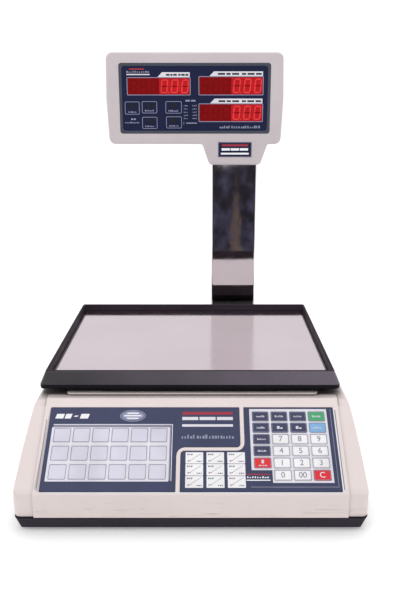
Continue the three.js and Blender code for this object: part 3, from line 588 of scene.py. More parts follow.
# ---- key panel
PRESS = next(joint["axis"] for joint in frame["joints"] if joint["name"] == "press_5")
OUT = -Vector(PRESS).normalized()
ACROSS = Vector((1, 0, 0))
UP_SLOPE = OUT.cross(ACROSS).normalized()
FILM_POINTS = [vertex.co for vertex in NODES["keypad_film_left"].data.vertices]
PANEL_LOW = min(point.dot(UP_SLOPE) for point in FILM_POINTS)
PANEL_TOP = max(point.dot(OUT) for point in FILM_POINTS)


def on_panel(x, u, n):
    """Panel millimetres (across, up the slope, out of the film) to a point of the frame."""
    return ACROSS * (x * MM) + UP_SLOPE * (PANEL_LOW + u * MM) + OUT * (PANEL_TOP + n * MM)


def panel_matrix(x, u, n):
    """A plane lying on the panel, its X across and its Y up the slope."""
    turn = Matrix((ACROSS, UP_SLOPE, OUT)).transposed().to_4x4()
    return Matrix.Translation(on_panel(x, u, n)) @ turn


PLU_FRAME = (-156.8, -24.2, 10.6, 72.4)  # left, right, low, high
PLU_LEFT = -154.0
PLU_PITCH = 21.6
PLU_WIDTH = 18.9
PLU_ROWS = (60.4, 40.5, 20.6)
PLU_TALL = 16.0
KEY_INSET = 0.35
DOUBLE_COLUMNS = (3.4, 26.2, 49.0)
DOUBLE_ROWS = (35.4, 22.8, 10.2)
DOUBLE_HALF = (9.6, 6.05)
DIGIT_SIZE = 8.3 * MM
DIGIT_STRETCH = 1.12
HEADER_OVAL = (-67.0, 82.4)
HEADER_SPAN = (-10.8, 46.6)
NUMERIC_MARK = (59.8, 84.8)
LAYER = 0.05  # a print that lies on another starts this far up, mm
THIN = 0.03  # the ink of fine marks, mm


def left_film_print():
    """Pale field for the eighteen label keys, with painted shade along its upper and right margins."""
    left, right, low, high = PLU_FRAME
    print_boxes("print_label_field", "print_field", on_panel, (left, right, low, high - 3.2, 0.8))
    # Painted shade: grey bands along the top and the right of the field.
    print_boxes("print_label_shadow", "print_shadow", on_panel,
                (left + 1.2, right, high - 3.1, high - 0.5, 0.5),
                (right + 0.1, right + 1.4, low + 1.0, high - 0.5, 0.4))
    print_boxes("print_label_lines", "print_white", on_panel,
                (left + 1.2, right + 3.0, high - 0.4, high + 0.3, 0.2),
                (right + 2.3, right + 3.0, low + 0.5, high - 0.5, 0.2))
    keys = Print("print_label_keys", "print_lilac", on_panel, LAYER)
    rims = Print("print_label_key_rims", "print_shadow", on_panel, LAYER)
    dots = Print("print_label_dots", "print_white", on_panel, LAYER)
    for row in PLU_ROWS:
        low, high = row - PLU_TALL / 2, row + PLU_TALL / 2
        for column in range(6):
            x = PLU_LEFT + column * PLU_PITCH
            keys.box(x + 0.5, x + PLU_WIDTH - 0.5, low + 0.5, high - 0.5, 1.0)
            rims.outline(x, x + PLU_WIDTH, low, high, 1.2, 0.8)
            if column and row > min(PLU_ROWS):
                dots.shape(disc((x - (PLU_PITCH - PLU_WIDTH) / 2, low - 1.9), 0.9, 12))
    finish(keys, rims, dots)


def film_edges():
    """Painted highlight, joint line and painted shade in the groove where the films meet the housing: left, right
    and at the foot.
    """
    highlight = Print("film_edge_lip", "print_white", on_panel, 0.1, slot="cream_housing")
    joint = Print("film_edge_joint", "print_grey", on_panel, 0.1, slot="cream_housing")
    # Painted shade in the grey band left of the film, and painted highlights in the white lines beside and below
    # the films.
    groove = Print("film_edge_groove", "edge_grey", on_panel, 0.1)
    _, outer, _, top, _ = panel_span("keypad_film_right")
    highlight.box(outer + 0.4, outer + 1.6, -0.4, top, 0.3)
    joint.box(outer + 1.8, outer + 2.7, 2.0, top - 3.0, 0.2)
    joint.box(-outer - 3.7, -outer - 3.0, 4.0, top - 14.0, 0.2)
    highlight.box(-outer, outer, -1.3, -0.5, 0.3)
    groove.shape([(-outer - aside, u) for aside, u in (
        (0.4, 0.5), (0.4, top - 1.0), (1.2, top - 1.0), (5.6, 7.0), (5.6, 3.0), (2.4, 0.5))])
    finish(groove, highlight, joint)


def generic_header():
    """Plain shapes in the header of the left film, with no lettering: bars, an oval and plates."""
    white = Print("print_header_white", "print_white", on_panel)
    for x, width in ((-155.0, 9.0), (-144.4, 7.0), (-134.2, 4.0), (-127.2, 9.4)):
        low, high = (79.2, 84.6) if width > 5 else (81.2, 82.6)
        white.shape([(x, low), (x + width, low), (x + width + 1.6, high), (x + 1.6, high)])
    oval = Print("print_header_oval", "print_line", on_panel)
    oval.ring(disc(HEADER_OVAL, 14.6, 40, 0.46), disc(HEADER_OVAL, 13.6, 40, 0.44))
    oval.shape(disc(HEADER_OVAL, 12.6, 40, 0.42))
    finish(white, oval)
    x, u = HEADER_OVAL
    print_boxes("print_header_bars", "print_white", on_panel,
                *((x - half, x + half, u + shift - 0.7, u + shift + 0.7, 0.4)
                  for shift, half in ((-2.9, 6.5), (0.0, 9.6), (2.9, 6.5))), level=0.06)
    plate = Print("print_header_plate", "print_field", on_panel)
    plate.dashes(*HEADER_SPAN, 79.2, 3.6, (12, 1, 12, 1, 12))
    plate.box(*HEADER_SPAN, 69.8, 72.6, 0.6)
    small = Print("print_header_small", "print_pale", on_panel)
    small.fine_print(-11.0, 48.0, 58.6, 4.4, (5, 4, 9))
    finish(plate, small)
    print_boxes("print_header_red", "print_red", on_panel, (*HEADER_SPAN, 83.6, 86.8, 0.6))


def double_keys():
    """Nine white keys, each halved by a fine diagonal, with a mark in each half."""
    white = Print("print_double_keys", "key_white", on_panel)
    ink = Print("print_double_key_marks", "print_grey", on_panel, LAYER, THIN, slot="key_navy")
    line = Print("print_double_key_lines", "print_shadow", on_panel, LAYER, THIN)
    accent = Print("print_double_key_accents", "print_red", on_panel, LAYER, THIN)
    half_x, half_u = DOUBLE_HALF
    reach_x, reach_u, thin = half_x - 2.4, half_u - 1.5, 0.38
    for x in DOUBLE_COLUMNS:
        left, right = x - half_x, x + half_x
        for u in DOUBLE_ROWS:
            low, high = u - half_u, u + half_u
            white.box(left, right, low, high, 0.6)
            line.shape([(x - reach_x - thin, u - reach_u), (x - reach_x + thin, u - reach_u),
                        (x + reach_x + thin, u + reach_u), (x + reach_x - thin, u + reach_u)])
            ink.dashes(left + 1.6, left + 7.6, high - 2.4, 1.5, (3, 1, 2, 1, 3))
            ink.dashes(right - 7.0, right - 1.6, low + 2.3, 1.3, (2, 1, 3, 1, 2))
            accent.dashes(left + 2.2, left + 5.6, low + 3.0, 0.8, (3, 1, 2))
    finish(white, ink, line, accent)


def panel_span(node):
    """A node's left, right, low, high and top on the panel, in millimetres."""
    points = [vertex.co for vertex in NODES[node].data.vertices]
    across = [point.x / MM for point in points]
    ups = [(point.dot(UP_SLOPE) - PANEL_LOW) / MM for point in points]
    top = (max(point.dot(OUT) for point in points) - PANEL_TOP) / MM
    return min(across), max(across), min(ups), max(ups), top


def key_spans():
    """Each key's middle, half size and top on the panel, in millimetres."""
    spans = {}
    for name in sorted(node for node in NODES if node.startswith("key_")):
        left, right, low, high, top = panel_span(name)
        spans[name] = ((left + right) / 2, (low + high) / 2, (right - left) / 2, (high - low) / 2, top)
    return spans


def numeric_field(spans):
    """White field under the numeric block, stepped at its lower left and open at every key."""
    left, step, right = 65.4, 87.8, 153.4
    top, middle, bottom = 90.2, 22.4, 9.2
    outer = [(left, middle), (step, middle), (step, bottom), (right, bottom), (right, top), (left, top)]
    clearance = 0.35
    holes = [rounded_rectangle((x, u), (half_x + clearance, half_u + clearance), 1.4, 3)
             for x, u, half_x, half_u, _ in spans.values()]
    field = Print("print_numeric_field", "print_field", on_panel)
    holed_slab(field.bm, outer, holes, field.low, field.high, on_panel)
    white = Print("print_numeric_lines", "print_white", on_panel)
    white.box(59.4, 85.2, 11.4, 12.5, 0.3)
    white.fine_print(60.3, 84.3, 15.0, 1.8, (9,))
    finish(field, white)
    print_boxes("print_numeric_edge", "print_shadow", on_panel,
                (64.0, 157.4, 4.6, 5.3, 0.2), (157.4, 158.1, 4.6, 90.0, 0.2))
    print_boxes("print_numeric_red", "print_red", on_panel, (*NUMERIC_MARK, 17.4, 18.6, 0.3))


def key_caps(spans):
    """The keys, with softened edges, a printed edge and their legends."""
    for name, (x, u, half_x, half_u, top) in spans.items():
        soft_copy(name, 0.25 * MM, suffix="_cap")
        body = BODY_OF[name]
        legend = name[4:]
        white_key = SLOT_OF[name] == "key_white"
        edge = Print(name + "_edge", "print_shadow" if white_key else "print_line", on_panel, top,
                     body=body)
        edge.outline(x - half_x + KEY_INSET, x + half_x - KEY_INSET,
                     u - half_u + KEY_INSET, u + half_u - KEY_INSET, 0.9, 0.4)
        edge.done()
        if legend.isdigit() or legend == "clear":
            text = legend if legend.isdigit() else "C"
            ink = "print_grey" if white_key else "print_white"
            text_piece(name + "_legend", text, panel_matrix(x, u, top + 0.06), body,
                       "key_navy" if white_key else "print_white", ink)
            continue
        marks = Print(name + "_legend", "print_lilac", on_panel, top, body=body)
        if legend in ("change", "void"):
            marks.box(x - 3.2, x - 0.2, u - 1.5, u + 1.7, 0.4)
            marks.box(x + 0.6, x + 3.2, u - 1.5, u + 0.2, 0.4)
        elif legend == "zero":
            marks.box(x - 1.4, x + 1.4, u - 0.6, u + 3.2, 0.5)
            marks.dashes(x - 4.4, x + 4.4, u - 2.8, 1.0, (3, 1, 2, 1, 3))
        else:
            marks.fine_print(x - 4.8, x + 4.8, u, 2.2, (8,))
        marks.done()


# ---- display head
SCREEN_MIDDLE, SCREEN_HALF = [[value / MM for value in pair]
                              for pair in extent("display_film_front", (0, 2))[:2]]
FRONT_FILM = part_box("display_film_front")[0].y
REAR_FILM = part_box("display_film_rear")[1].y


def on_front(x, z, n):
    """Screen millimetres (across, up, out of the film) on the keypad side."""
    return Vector(((SCREEN_MIDDLE[0] + x) * MM, FRONT_FILM - n * MM, (SCREEN_MIDDLE[1] + z) * MM))


def on_rear(x, z, n):
    """The same on the customer's side, read from behind."""
    return Vector(((SCREEN_MIDDLE[0] - x) * MM, REAR_FILM + n * MM, (SCREEN_MIDDLE[1] + z) * MM))


# left, right, low and high on the screen, in millimetres
WINDOWS = ((-98.9, -7.4, 6.0, 29.5), (6.6, 99.9, 6.0, 30.9), (6.6, 99.9, -32.5, -7.9))
TABS = ((-55.0, -7.4, 30.3, 37.6), (21.0, 99.9, 31.7, 38.8), (22.0, 99.9, -7.2, 0.2))
TAB_SLOPE = 7.0
LAMP_BOXES = ((-103.7, -82.1, -22.7, -4.2), (-78.5, -56.1, -20.9, -3.7), (-43.5, -19.6, -21.2, -3.7),
              (-78.5, -56.1, -43.5, -26.3), (-42.8, -19.6, -42.8, -25.7))
DIGITS_PER_WINDOW = 6
LIT_DIGITS = 3
DIGIT_WIDTH = 8.6
DIGIT_TALL = 0.76  # of the window's height
DIGIT_MARGIN = 3.4  # from a digit's right edge to the next one's pitch line, mm
DOT_AWAY = 2.4
DIGIT_LEAN = 0.09
SEGMENT = 0.085  # of the digit's height
SEGMENT_GAP = 0.18  # of the segment's thickness


def segment_outlines(x, z, width, height):
    """The seven bars of a digit, pointed and leaning; keys are the usual letters a to g."""
    thick = height * SEGMENT
    gap = thick * SEGMENT_GAP

    def bar(across, low, high, upright=False):
        low, high = low + gap, high - gap
        side = thick / 2 if upright else -thick / 2
        points = [(low, across), (low + thick / 2, across + side), (high - thick / 2, across + side),
                  (high, across), (high - thick / 2, across - side), (low + thick / 2, across - side)]
        points = [(b, a) for a, b in points] if upright else points
        return [(a + (b - z) * DIGIT_LEAN, b) for a, b in points]

    middle, top, right = z + height / 2, z + height, x + width
    return {
        "a": bar(top, x, right), "g": bar(middle, x, right), "d": bar(z, x, right),
        "f": bar(x, middle, top, True), "b": bar(right, middle, top, True),
        "e": bar(x, z, middle, True), "c": bar(right, z, middle, True),
    }


def window_digits(side, place, depth):
    """Six digits in each window; the last three are lit and read 0.00, with a glow behind them."""
    glow = Print(f"glow_lit_{side}", "glow_lit", place, depth)
    lit = Print(f"segments_lit_{side}", "led_digits", place, depth + 0.06)
    unlit = Print(f"segments_unlit_{side}", "segment_unlit", place, depth + 0.06)
    for left, right, low, high in WINDOWS:
        pitch = (right - left) / DIGITS_PER_WINDOW
        height = (high - low) * DIGIT_TALL
        base = (low + high - height) / 2
        first_lit = right - LIT_DIGITS * pitch
        glow.box(first_lit + 0.6, right - 0.4, low + 0.4, high - 0.4, 0.3)
        for index in range(DIGITS_PER_WINDOW):
            x = left + (index + 1) * pitch - DIGIT_WIDTH - DIGIT_MARGIN
            is_lit = index >= DIGITS_PER_WINDOW - LIT_DIGITS
            for letter, points in segment_outlines(x, base, DIGIT_WIDTH, height).items():
                target = lit if is_lit and letter != "g" else unlit
                target.shape(points)
            dot = lit if index == DIGITS_PER_WINDOW - LIT_DIGITS else unlit
            dot.shape(disc((x + DIGIT_WIDTH + DOT_AWAY, base), 1.0, 10))
    finish(glow, lit, unlit)


def screen_print(side, place):
    """Window outlines, title tabs, lamp boxes and rows of marks on a display film."""
    lines = Print(f"print_screen_lines_{side}", "print_line", place)
    white = Print(f"print_screen_{side}", "print_field", place)
    pale = Print(f"print_screen_small_{side}", "print_pale", place)
    ink = Print(f"print_screen_ink_{side}", "print_dark", place, LAYER, THIN)
    for left, right, low, high in WINDOWS:
        lines.outline(left - 1.1, right + 1.1, low - 1.1, high + 1.1, 1.2, 0.9)
    for left, right, low, high in TABS:
        white.shape([(left, low), (right, low), (right, high), (left + TAB_SLOPE, high)])
        ink.dashes(left + 13.0, right - 2.0, (low + high) / 2, 2.6, (5, 1, 3, 1, 5, 2, 3, 1, 5, 1, 4))
    for left, right, low, high in LAMP_BOXES:
        lines.outline(left, right, low, high, 1.8, 0.7)
        pale.fine_print(left + 4.4, right - 4.4, low + 3.8, 2.4, (6,))
        ink.shape(disc(((left + right) / 2, high - 5.8), 4.0, 20))
    pale.fine_print(37.0, 98.0, -41.0, 3.8, (5, 4, 9))
    pale.fine_print(-100.0, -66.0, 38.2, 2.6, (11,))
    white.box(-100.0, -66.0, 33.6, 35.2, 0.3)
    for row in range(5):
        z = -10.0 - row * 4.6
        pale.fine_print(-16.5, -10.0, z, 1.7, (3,))
        pale.fine_print(-3.5, 3.5, z, 1.7, (3,))
    pale.dashes(-14.0, 1.0, -2.8, 2.4, (4, 1, 4))
    lines.box(-16.9, -16.3, -37.5, -33.0, 0.1)
    lines.box(-13.0, 3.0, -36.0, -34.6, 0.2)
    pale.fine_print(-104.0, -82.0, -34.4, 2.2, (9,))
    pale.dashes(-95.0, -88.0, -29.6, 2.2, (3, 1, 3))
    finish(lines, white, pale, ink)
    print_boxes(f"print_screen_red_{side}", "print_red", place, (-96.0, -74.0, 41.0, 43.0, 0.4))


def screen_bezel(side, place, rise=1.0):
    """Raised dark lip round the film's recess, its colour a painted shade of the recess; rise scales its height.
    """
    bm = bmesh.new()
    half_x, half_z = SCREEN_HALF
    loops = []
    for inset, height in ((0.15, 0.05), (0.5, 0.5), (1.2, 0.6), (3.2, 0.32), (3.9, 0.04)):
        corner = max(4.4 - inset, 1.6) if inset < 2 else 4.0
        outline = rounded_rectangle((0, 0), (half_x - inset, half_z - inset), corner, 6)
        loops.append([bm.verts.new(place(x, z, height * rise)) for x, z in outline])
    bridge(bm, loops)
    name = f"screen_bezel_{side}"
    add_piece(name, finish_mesh(bm, name), "base", "head_shell", "bezel_grey")


def rear_windows():
    """Red panes on the customer's side, flush on the film."""
    print_boxes("window_panes_rear", "window_red", on_rear, *((*window, 0.8) for window in WINDOWS))


def neck_badge_print():
    """A border and plain bars on the badge under the head, with no lettering."""
    middle, _, low, _ = extent("neck_badge", (0, 2))

    def place(x, z, n):
        return Vector((middle[0] + x * MM, low.y - n * MM, middle[1] + z * MM))

    white = Print("print_badge_white", "print_white", place, 0, THIN)
    white.box(-21.0, 21.0, -7.4, -4.6, 0.4)
    white.dashes(-20.0, 20.0, 0.4, 3.6, (12, 1, 12, 1, 12))
    line = Print("print_badge_line", "print_shadow", place, 0, THIN)
    line.outline(-24.6, 24.6, -10.6, 10.6, 0.8, 0.5)
    finish(white, line)
    print_boxes("print_badge_red", "print_red", place, (-20.0, 20.0, 5.0, 8.0, 0.3), thick=THIN)


# ---- platter and mast
def ring_sweep(name, centre, half, radius, section, least_radius):
    """Closed frame: section points (inset, z) carried round a rounded rectangle, all in metres."""
    bm = bmesh.new()
    loops = []
    for inset, z in section:
        corner = max(radius - inset, least_radius)
        outline = rounded_rectangle(centre, (half[0] - inset, half[1] - inset), corner, 8)
        loops.append([bm.verts.new((x, y, z)) for x, y in outline])
    bridge(bm, loops)
    return finish_mesh(bm, name, 50)


RIM_SKIRT = 2.0 * MM  # the skirts reach this far below the rim's band
RIM_BAND = 5.2 * MM
RIM_LEAN = 6.4 * MM
RIM_LIP = 3.0 * MM
RIM_UNDER = 5.7 * MM  # how far in the rim's underside and its inner foot end
RIM_SOFT = 0.8 * MM
RIM_CORNER = 6 * MM
SKIRT_REACH = (108 * MM, 70 * MM)  # half the skirts' length, across and front to back
MAST_CORNER = 2.6 * MM
MAST_WALL = 1.5 * MM


def platter_rim():
    """Glossy frame: upright band, a slope up to a flat lip and a soft step down to the steel."""
    centre, half, low, high = extent("platter_rim")
    pan_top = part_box("platter_tray")[1].z
    foot = low.z + RIM_SKIRT
    band_top = foot + RIM_BAND
    lip_in = RIM_LEAN + RIM_LIP
    section = [(RIM_UNDER, foot + 0.1 * MM), (RIM_SOFT, foot)]
    for angle in map(math.radians, (292.5, 315, 337.5, 360)):
        section.append((RIM_SOFT - RIM_SOFT * math.cos(angle),
                        foot + RIM_SOFT + RIM_SOFT * math.sin(angle)))
    for start, level, steps in (
            (0.0, band_top, ((0.0, -0.4), (0.1, 0.0), (0.35, 0.7))),
            (RIM_LEAN, high.z, ((-0.5, -1.6), (-0.1, -0.45), (0.5, -0.06), (1.3, 0.0))),
            (lip_in, high.z, ((-1.3, 0.0), (-0.45, -0.1), (-0.05, -0.5), (0.0, -1.3))),
            (lip_in, pan_top, ((0.5, 1.2), (0.9, 0.25)))):
        section += [(start + inset * MM, level + rise * MM) for inset, rise in steps]
    section.append((RIM_UNDER, pan_top + 0.25 * MM))
    mesh = ring_sweep("platter_rim_skin", centre, half, RIM_CORNER, section, RIM_CORNER / 2)
    rim = add_piece("platter_rim_skin", mesh, "platter", "rim_black", stands_for=("platter_rim",))
    for shaded in ("rim_shadow", "rim_lip"):
        rim.data.materials.append(MATERIALS[shaded])
    # Painted shade: the band below the slope takes the darkest copy of the rim's black; the inner walls, the top
    # of the lip and the rear slope take a second darker copy.
    for face in rim.data.polygons:
        inner = all(abs(face.center[i] - centre[i]) < half[i] - RIM_LEAN - 1.2 * MM for i in range(2))
        if face.center.z < band_top - 0.2 * MM:
            face.material_index = 1
        elif inner or face.center.z > high.z - 0.3 * MM or face.normal.y > 0.6:
            face.material_index = 2
    rim_skirts(centre, half, low.z, foot)


def rim_skirts(centre, half, low, foot):
    """The deeper middles of the rim's four sides, their ends slanted."""
    bm = bmesh.new()
    for side in (-1, 1):
        for turned_over, reach in enumerate(SKIRT_REACH):
            wall, top = half[1 - turned_over], foot + 0.5 * MM
            outline = [(-reach + 6 * MM, low), (reach - 6 * MM, low), (reach, top), (-reach, top)]

            def place(along, z, across, turned_over=turned_over):
                x, y = (across, along) if turned_over else (along, across)
                return Vector((centre[0] + x, centre[1] + y, z))

            slab(bm, outline, side * (wall - 5.6 * MM), side * (wall - 0.5 * MM), place)
    mesh = finish_mesh(bm, "platter_rim_skirts")
    # Painted shade: the skirts take the darkest copy of the rim's black.
    add_piece("platter_rim_skirts", mesh, "platter", "rim_black", "rim_shadow")


def mast_skin():
    """Flat tube with rounded corners, open at both ends."""
    centre, half, low, high = extent("mast_tube")
    levels = 12
    climbs = [(high.z - low.z) * i / levels for i in range(levels + 1)]
    section = [(0.0, low.z + climb) for climb in climbs]
    section += [(MAST_WALL, high.z - climb) for climb in climbs]
    mesh = ring_sweep("mast_skin", centre, half, MAST_CORNER, section, 1.0 * MM)
    add_piece("mast_skin", mesh, "base", "mast_mirror", stands_for=("mast_tube",))


# ---- rear, side and underside details
def turned(profile, steps=24):
    """Closed body about Z from (radius, height) points, both ends on the axis, in metres."""
    bm = bmesh.new()
    rings = [[bm.verts.new((x, y, height)) for x, y in disc((0, 0), radius, steps if radius else 1)]
             for radius, height in profile]
    for one, two in zip(rings, rings[1:]):
        for i in range(steps):
            after = (i + 1) % steps
            corners = [one[i % len(one)], one[after % len(one)], two[after % len(two)], two[i % len(two)]]
            bm.faces.new(list(dict.fromkeys(corners)))
    return bm


def as_given(x, y, z):
    """A place function that leaves metres as they are."""
    return Vector((x, y, z))


def aimed(where, direction):
    """Places a body that stands on the origin at a point in millimetres, facing a direction."""
    aim = Vector(direction).to_track_quat("Z", "Y").to_matrix().to_4x4()
    return Matrix.Translation(Vector(where) * MM) @ aim


def add_body(bm, body, matrix):
    """A bmesh body moved by the matrix and added to bm."""
    body.transform(matrix)
    mesh = bpy.data.meshes.new("body")
    body.to_mesh(mesh)
    body.free()
    bm.from_mesh(mesh)


def add_bores(bm, places, radius, depth):
    """Countersunk bores to be cut in the rear, each a little proud of the face it enters."""
    profile = ((0, -depth), (radius * 0.8, -depth), (radius, -depth * 0.4), (radius, 0.6), (0, 0.6))
    for where in places:
        add_body(bm, turned([(out * MM, up * MM) for out, up in profile]), aimed(where, REARWARD))


def screws(name, places, direction, radius, sunk):
    """Cross-recessed screws, their heads lying below the face by sunk millimetres."""
    bm = bmesh.new()
    size = radius * MM
    for where in places:
        head = turned([(out * size, up * MM) for out, up in SCREW_HEAD])
        for i in range(2):
            arms = [Matrix.Rotation(math.pi / 2 * i, 4, "Z") @ Vector((x * size, y * size, 0))
                    for x, y in ((-0.55, -0.1), (0.55, -0.1), (0.55, 0.1), (-0.55, 0.1))]
            slab(head, [(point.x, point.y) for point in arms], -0.3 * MM, 0.03 * MM, as_given)
        add_body(bm, head, aimed(where, direction) @ Matrix.Translation((0, 0, -sunk * MM)))
    add_piece(name, finish_mesh(bm, name), "base", "bracket_steel")


REARWARD = (0, 1, 0)
DOWNWARD = (0, 0, -1)
SCREW_HEAD = (  # share of the radius, height in mm
    (0, -1.6), (0.9, -1.6), (1, -0.7), (0.9, -0.25), (0.6, 0), (0.16, -0.02), (0, -0.75))
REAR_FACE = CAD_BOX[1].y / MM
HEAD_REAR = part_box("head_rear_shell")[1].y / MM
HEAD_SCREWS = [(x, HEAD_REAR, z) for x in (-121, 121) for z in (391, 503)]
HOUSING_SCREWS = [(x, REAR_FACE, z) for x in (-172, 172) for z in (32, 92)]
TRAY_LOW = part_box("base_tray")[0].z / MM
TRAY_SCREWS = [(x, y, TRAY_LOW) for x, y in
               ((-168, -120), (-168, 120), (0, -120), (0, 120), (168, -120), (168, 120), (-60, 0), (60, 0))]
VENT_LEFTS = (-60, -22)
VENT_ROWS = [34 + 5 * i for i in range(9)]
VENT_SIZE = (34, 2.2)
SIDE_FRONTS = (-20, 26)
SIDE_ROWS = [38 + 5.5 * i for i in range(7)]
SIDE_SIZE = (40, 2.4)
PLATE = (20, 66, 96, 92)  # rating plate on the rear wall: left, low, right, high


def side_wall(z):
    """How far out the housing's side stands at a height, in millimetres."""
    return 190 - 9 * ((z - 17) / 95) ** 2


def rear_cutting():
    """Shapes to cut from the housing: vents, a pocket for the rating plate and screw bores."""
    bm = bmesh.new()
    for z in VENT_ROWS:
        for left in VENT_LEFTS:
            add_box(bm, (left, REAR_FACE - 1.5, z),
                    (left + VENT_SIZE[0], REAR_FACE + 3, z + VENT_SIZE[1]))
    left, low, right, high = PLATE
    add_box(bm, (left, REAR_FACE - 0.5, low), (right, REAR_FACE + 3, high))
    for z in SIDE_ROWS:
        for near in SIDE_FRONTS:
            add_box(bm, (-200, near, z), (-side_wall(z) + 1.4, near + SIDE_SIZE[0], z + SIDE_SIZE[1]))
    add_bores(bm, HOUSING_SCREWS, 4.2, 2.0)
    return bm


def head_cutting():
    """Screw bores to cut from the head's rear shell."""
    bm = bmesh.new()
    add_bores(bm, HEAD_SCREWS, 3.6, 1.7)
    return bm


def rear_fittings():
    """Blank rating plate, painted shade at the backs of the vents and the screws that close the case."""
    left, low, right, high = PLATE

    def place(x, z, n):
        return Vector((-x * MM, (REAR_FACE + n) * MM, z * MM))

    print_boxes("rating_plate", "bracket_steel", place,
                (-right + 0.4, -left - 0.4, low + 0.4, high - 0.4, 1.2), level=-0.5, thick=0.3)
    lines = Print("rating_plate_lines", "print_shadow", place, -0.16, 0.04)
    lines.outline(-right + 2.0, -left - 2.0, low + 2.0, high - 2.0, 0.8, 0.4)
    for z in (75, 81):
        lines.box(-right + 4.0, -left - 4.0, z, z + 0.5, 0.1)
    lines.box(-left - 34.0, -left - 33.5, low + 2.2, high - 2.2, 0.1)
    lines.done()
    # Painted shade: near-black sheets at the backs of the vents' pockets.
    print_boxes("vent_backs", "slot_dark", place,
                *((-vent - 33.6, -vent - 0.4, z + 0.3, z + 1.9, 0.2)
                  for z in VENT_ROWS for vent in VENT_LEFTS), level=-1.62, thick=0.2)
    screws("head_screws", HEAD_SCREWS, REARWARD, 3.2, 0.5)
    screws("case_screws", HOUSING_SCREWS, REARWARD, 3.8, 0.6)


def underside():
    """Stiffening ribs, raised pads round the feet, screws and a blank plate under the tray."""
    def place(x, y, n):
        return Vector((x * MM, y * MM, (TRAY_LOW - n) * MM))

    print_boxes("tray_ribs", "black_tray", place,
                *((x - 1.2, x + 1.2, -178, 178, 1.1) for x in (-110, -36, 36, 110)),
                *((-168, 168, y - 1.2, y + 1.2, 1.1) for y in (-88, 88)), level=-0.3, thick=1.5)
    rings = Print("tray_foot_rings", "black_tray", place, -0.3, 1.1)
    for node in ("foot_front_left", "foot_front_right", "foot_rear_left", "foot_rear_right"):
        x, y = (middle / MM for middle in extent(node)[0])
        rings.ring(disc((x, y), 18, 32), disc((x, y), 15.5, 32))
    for x, y, _ in TRAY_SCREWS:
        rings.ring(disc((x, y), 6.6, 28), disc((x, y), 4.9, 28))
    rings.done()
    print_boxes("tray_blank_plate", "print_field", place, (-30, 30, 30, 62, 1.5), level=-0.02, thick=0.15)
    lines = Print("tray_plate_lines", "print_shadow", place, 0.16)
    lines.outline(-28, 28, 32, 60, 1.0, 0.5)
    for y in (39, 46, 53):
        lines.box(-25, 25, y, y + 0.5, 0.1)
    lines.done()
    screws("tray_screws", TRAY_SCREWS, DOWNWARD, 4.2, -1.5)


def mast_gasket():
    """Black pad in the rubber finish on the deck, close round the mast: painted shade that darkens the deck there
    and its reflection in the mast.
    """
    centre, half, low, _ = extent("mast_tube")
    back = low.y - 1.0 * MM
    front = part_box("platter_rim")[1].y - 5.0 * MM
    middle, reach = (centre[0], (front + back) / 2), (half[0] + 8 * MM, (back - front) / 2)
    outline = rounded_rectangle(middle, reach, 3 * MM)
    bm = bmesh.new()
    slab(bm, outline, DECK_TOP - 0.3 * MM, DECK_TOP + 0.9 * MM,
         lambda x, y, z: Vector((x, y, z - deck_fall(y))))
    add_piece("mast_gasket", finish_mesh(bm, "mast_gasket"), "base", "rubber")


def deck_fall(y):
    """How far the deck has dropped towards the rear wall at a distance back, in metres."""
    end = REAR_FACE * MM
    return max(0.0, (y - DECK_EDGE) / (end - DECK_EDGE)) * DECK_DROP


# ---- stage
def stage_sheet(name, bm, made, unseen_by=()):
    """A part of the studio, its material, and the kinds of light ray that pass it by."""
    sheet = in_scene(name, finish_mesh(bm, name))
    sheet.data.materials.append(made.material)
    set_all(sheet, **{"visible_" + ray: False for ray in unseen_by})


def make_floor():
    bm = bmesh.new()
    reach = 6.0
    bm.faces.new([bm.verts.new((x * reach, y * reach, 0)) for x, y in ((-1, -1), (1, -1), (1, 1), (-1, 1))])
    made = Shader("floor_paper", (0.95, 0.95, 0.95), 0.8)
    made.colour_drift((0.945, 0.945, 0.945), (0.955, 0.955, 0.955), 3)
    distance = made.node("ShaderNodeVectorMath", ((0, made.coords),), operation="LENGTH")["Value"]
    # Painted light: the floor glows, a little near the scale and more further off, which lightens the shadows on
    # it.
    made.drive("Emission Strength", made.ranged(distance, 0.25, 1.0, 0.20, 0.32))
    made.set("Emission Color", (1, 1, 1, 1))
    stage_sheet("floor", bm, made)


def make_backdrop():
    """White paper all round, far off: seen by the camera only, so it lights nothing."""
    bm = bmesh.new()
    rows = [[bm.verts.new((x, y, z)) for x, y in disc((0, 0), 5.6, 48)] for z in (-0.05, 5.0)]
    bridge(bm, rows, closed=False)
    made = Shader("backdrop_paper", (0.0, 0.0, 0.0), 1.0)
    made.drive("Emission Strength", made.ranged(made.noise(1.5, 2), 0.3, 0.7, 0.99, 1.03))
    made.set("Emission Color", (1, 1, 1, 1))
    stage_sheet("backdrop", bm, made, ("diffuse", "glossy", "shadow"))


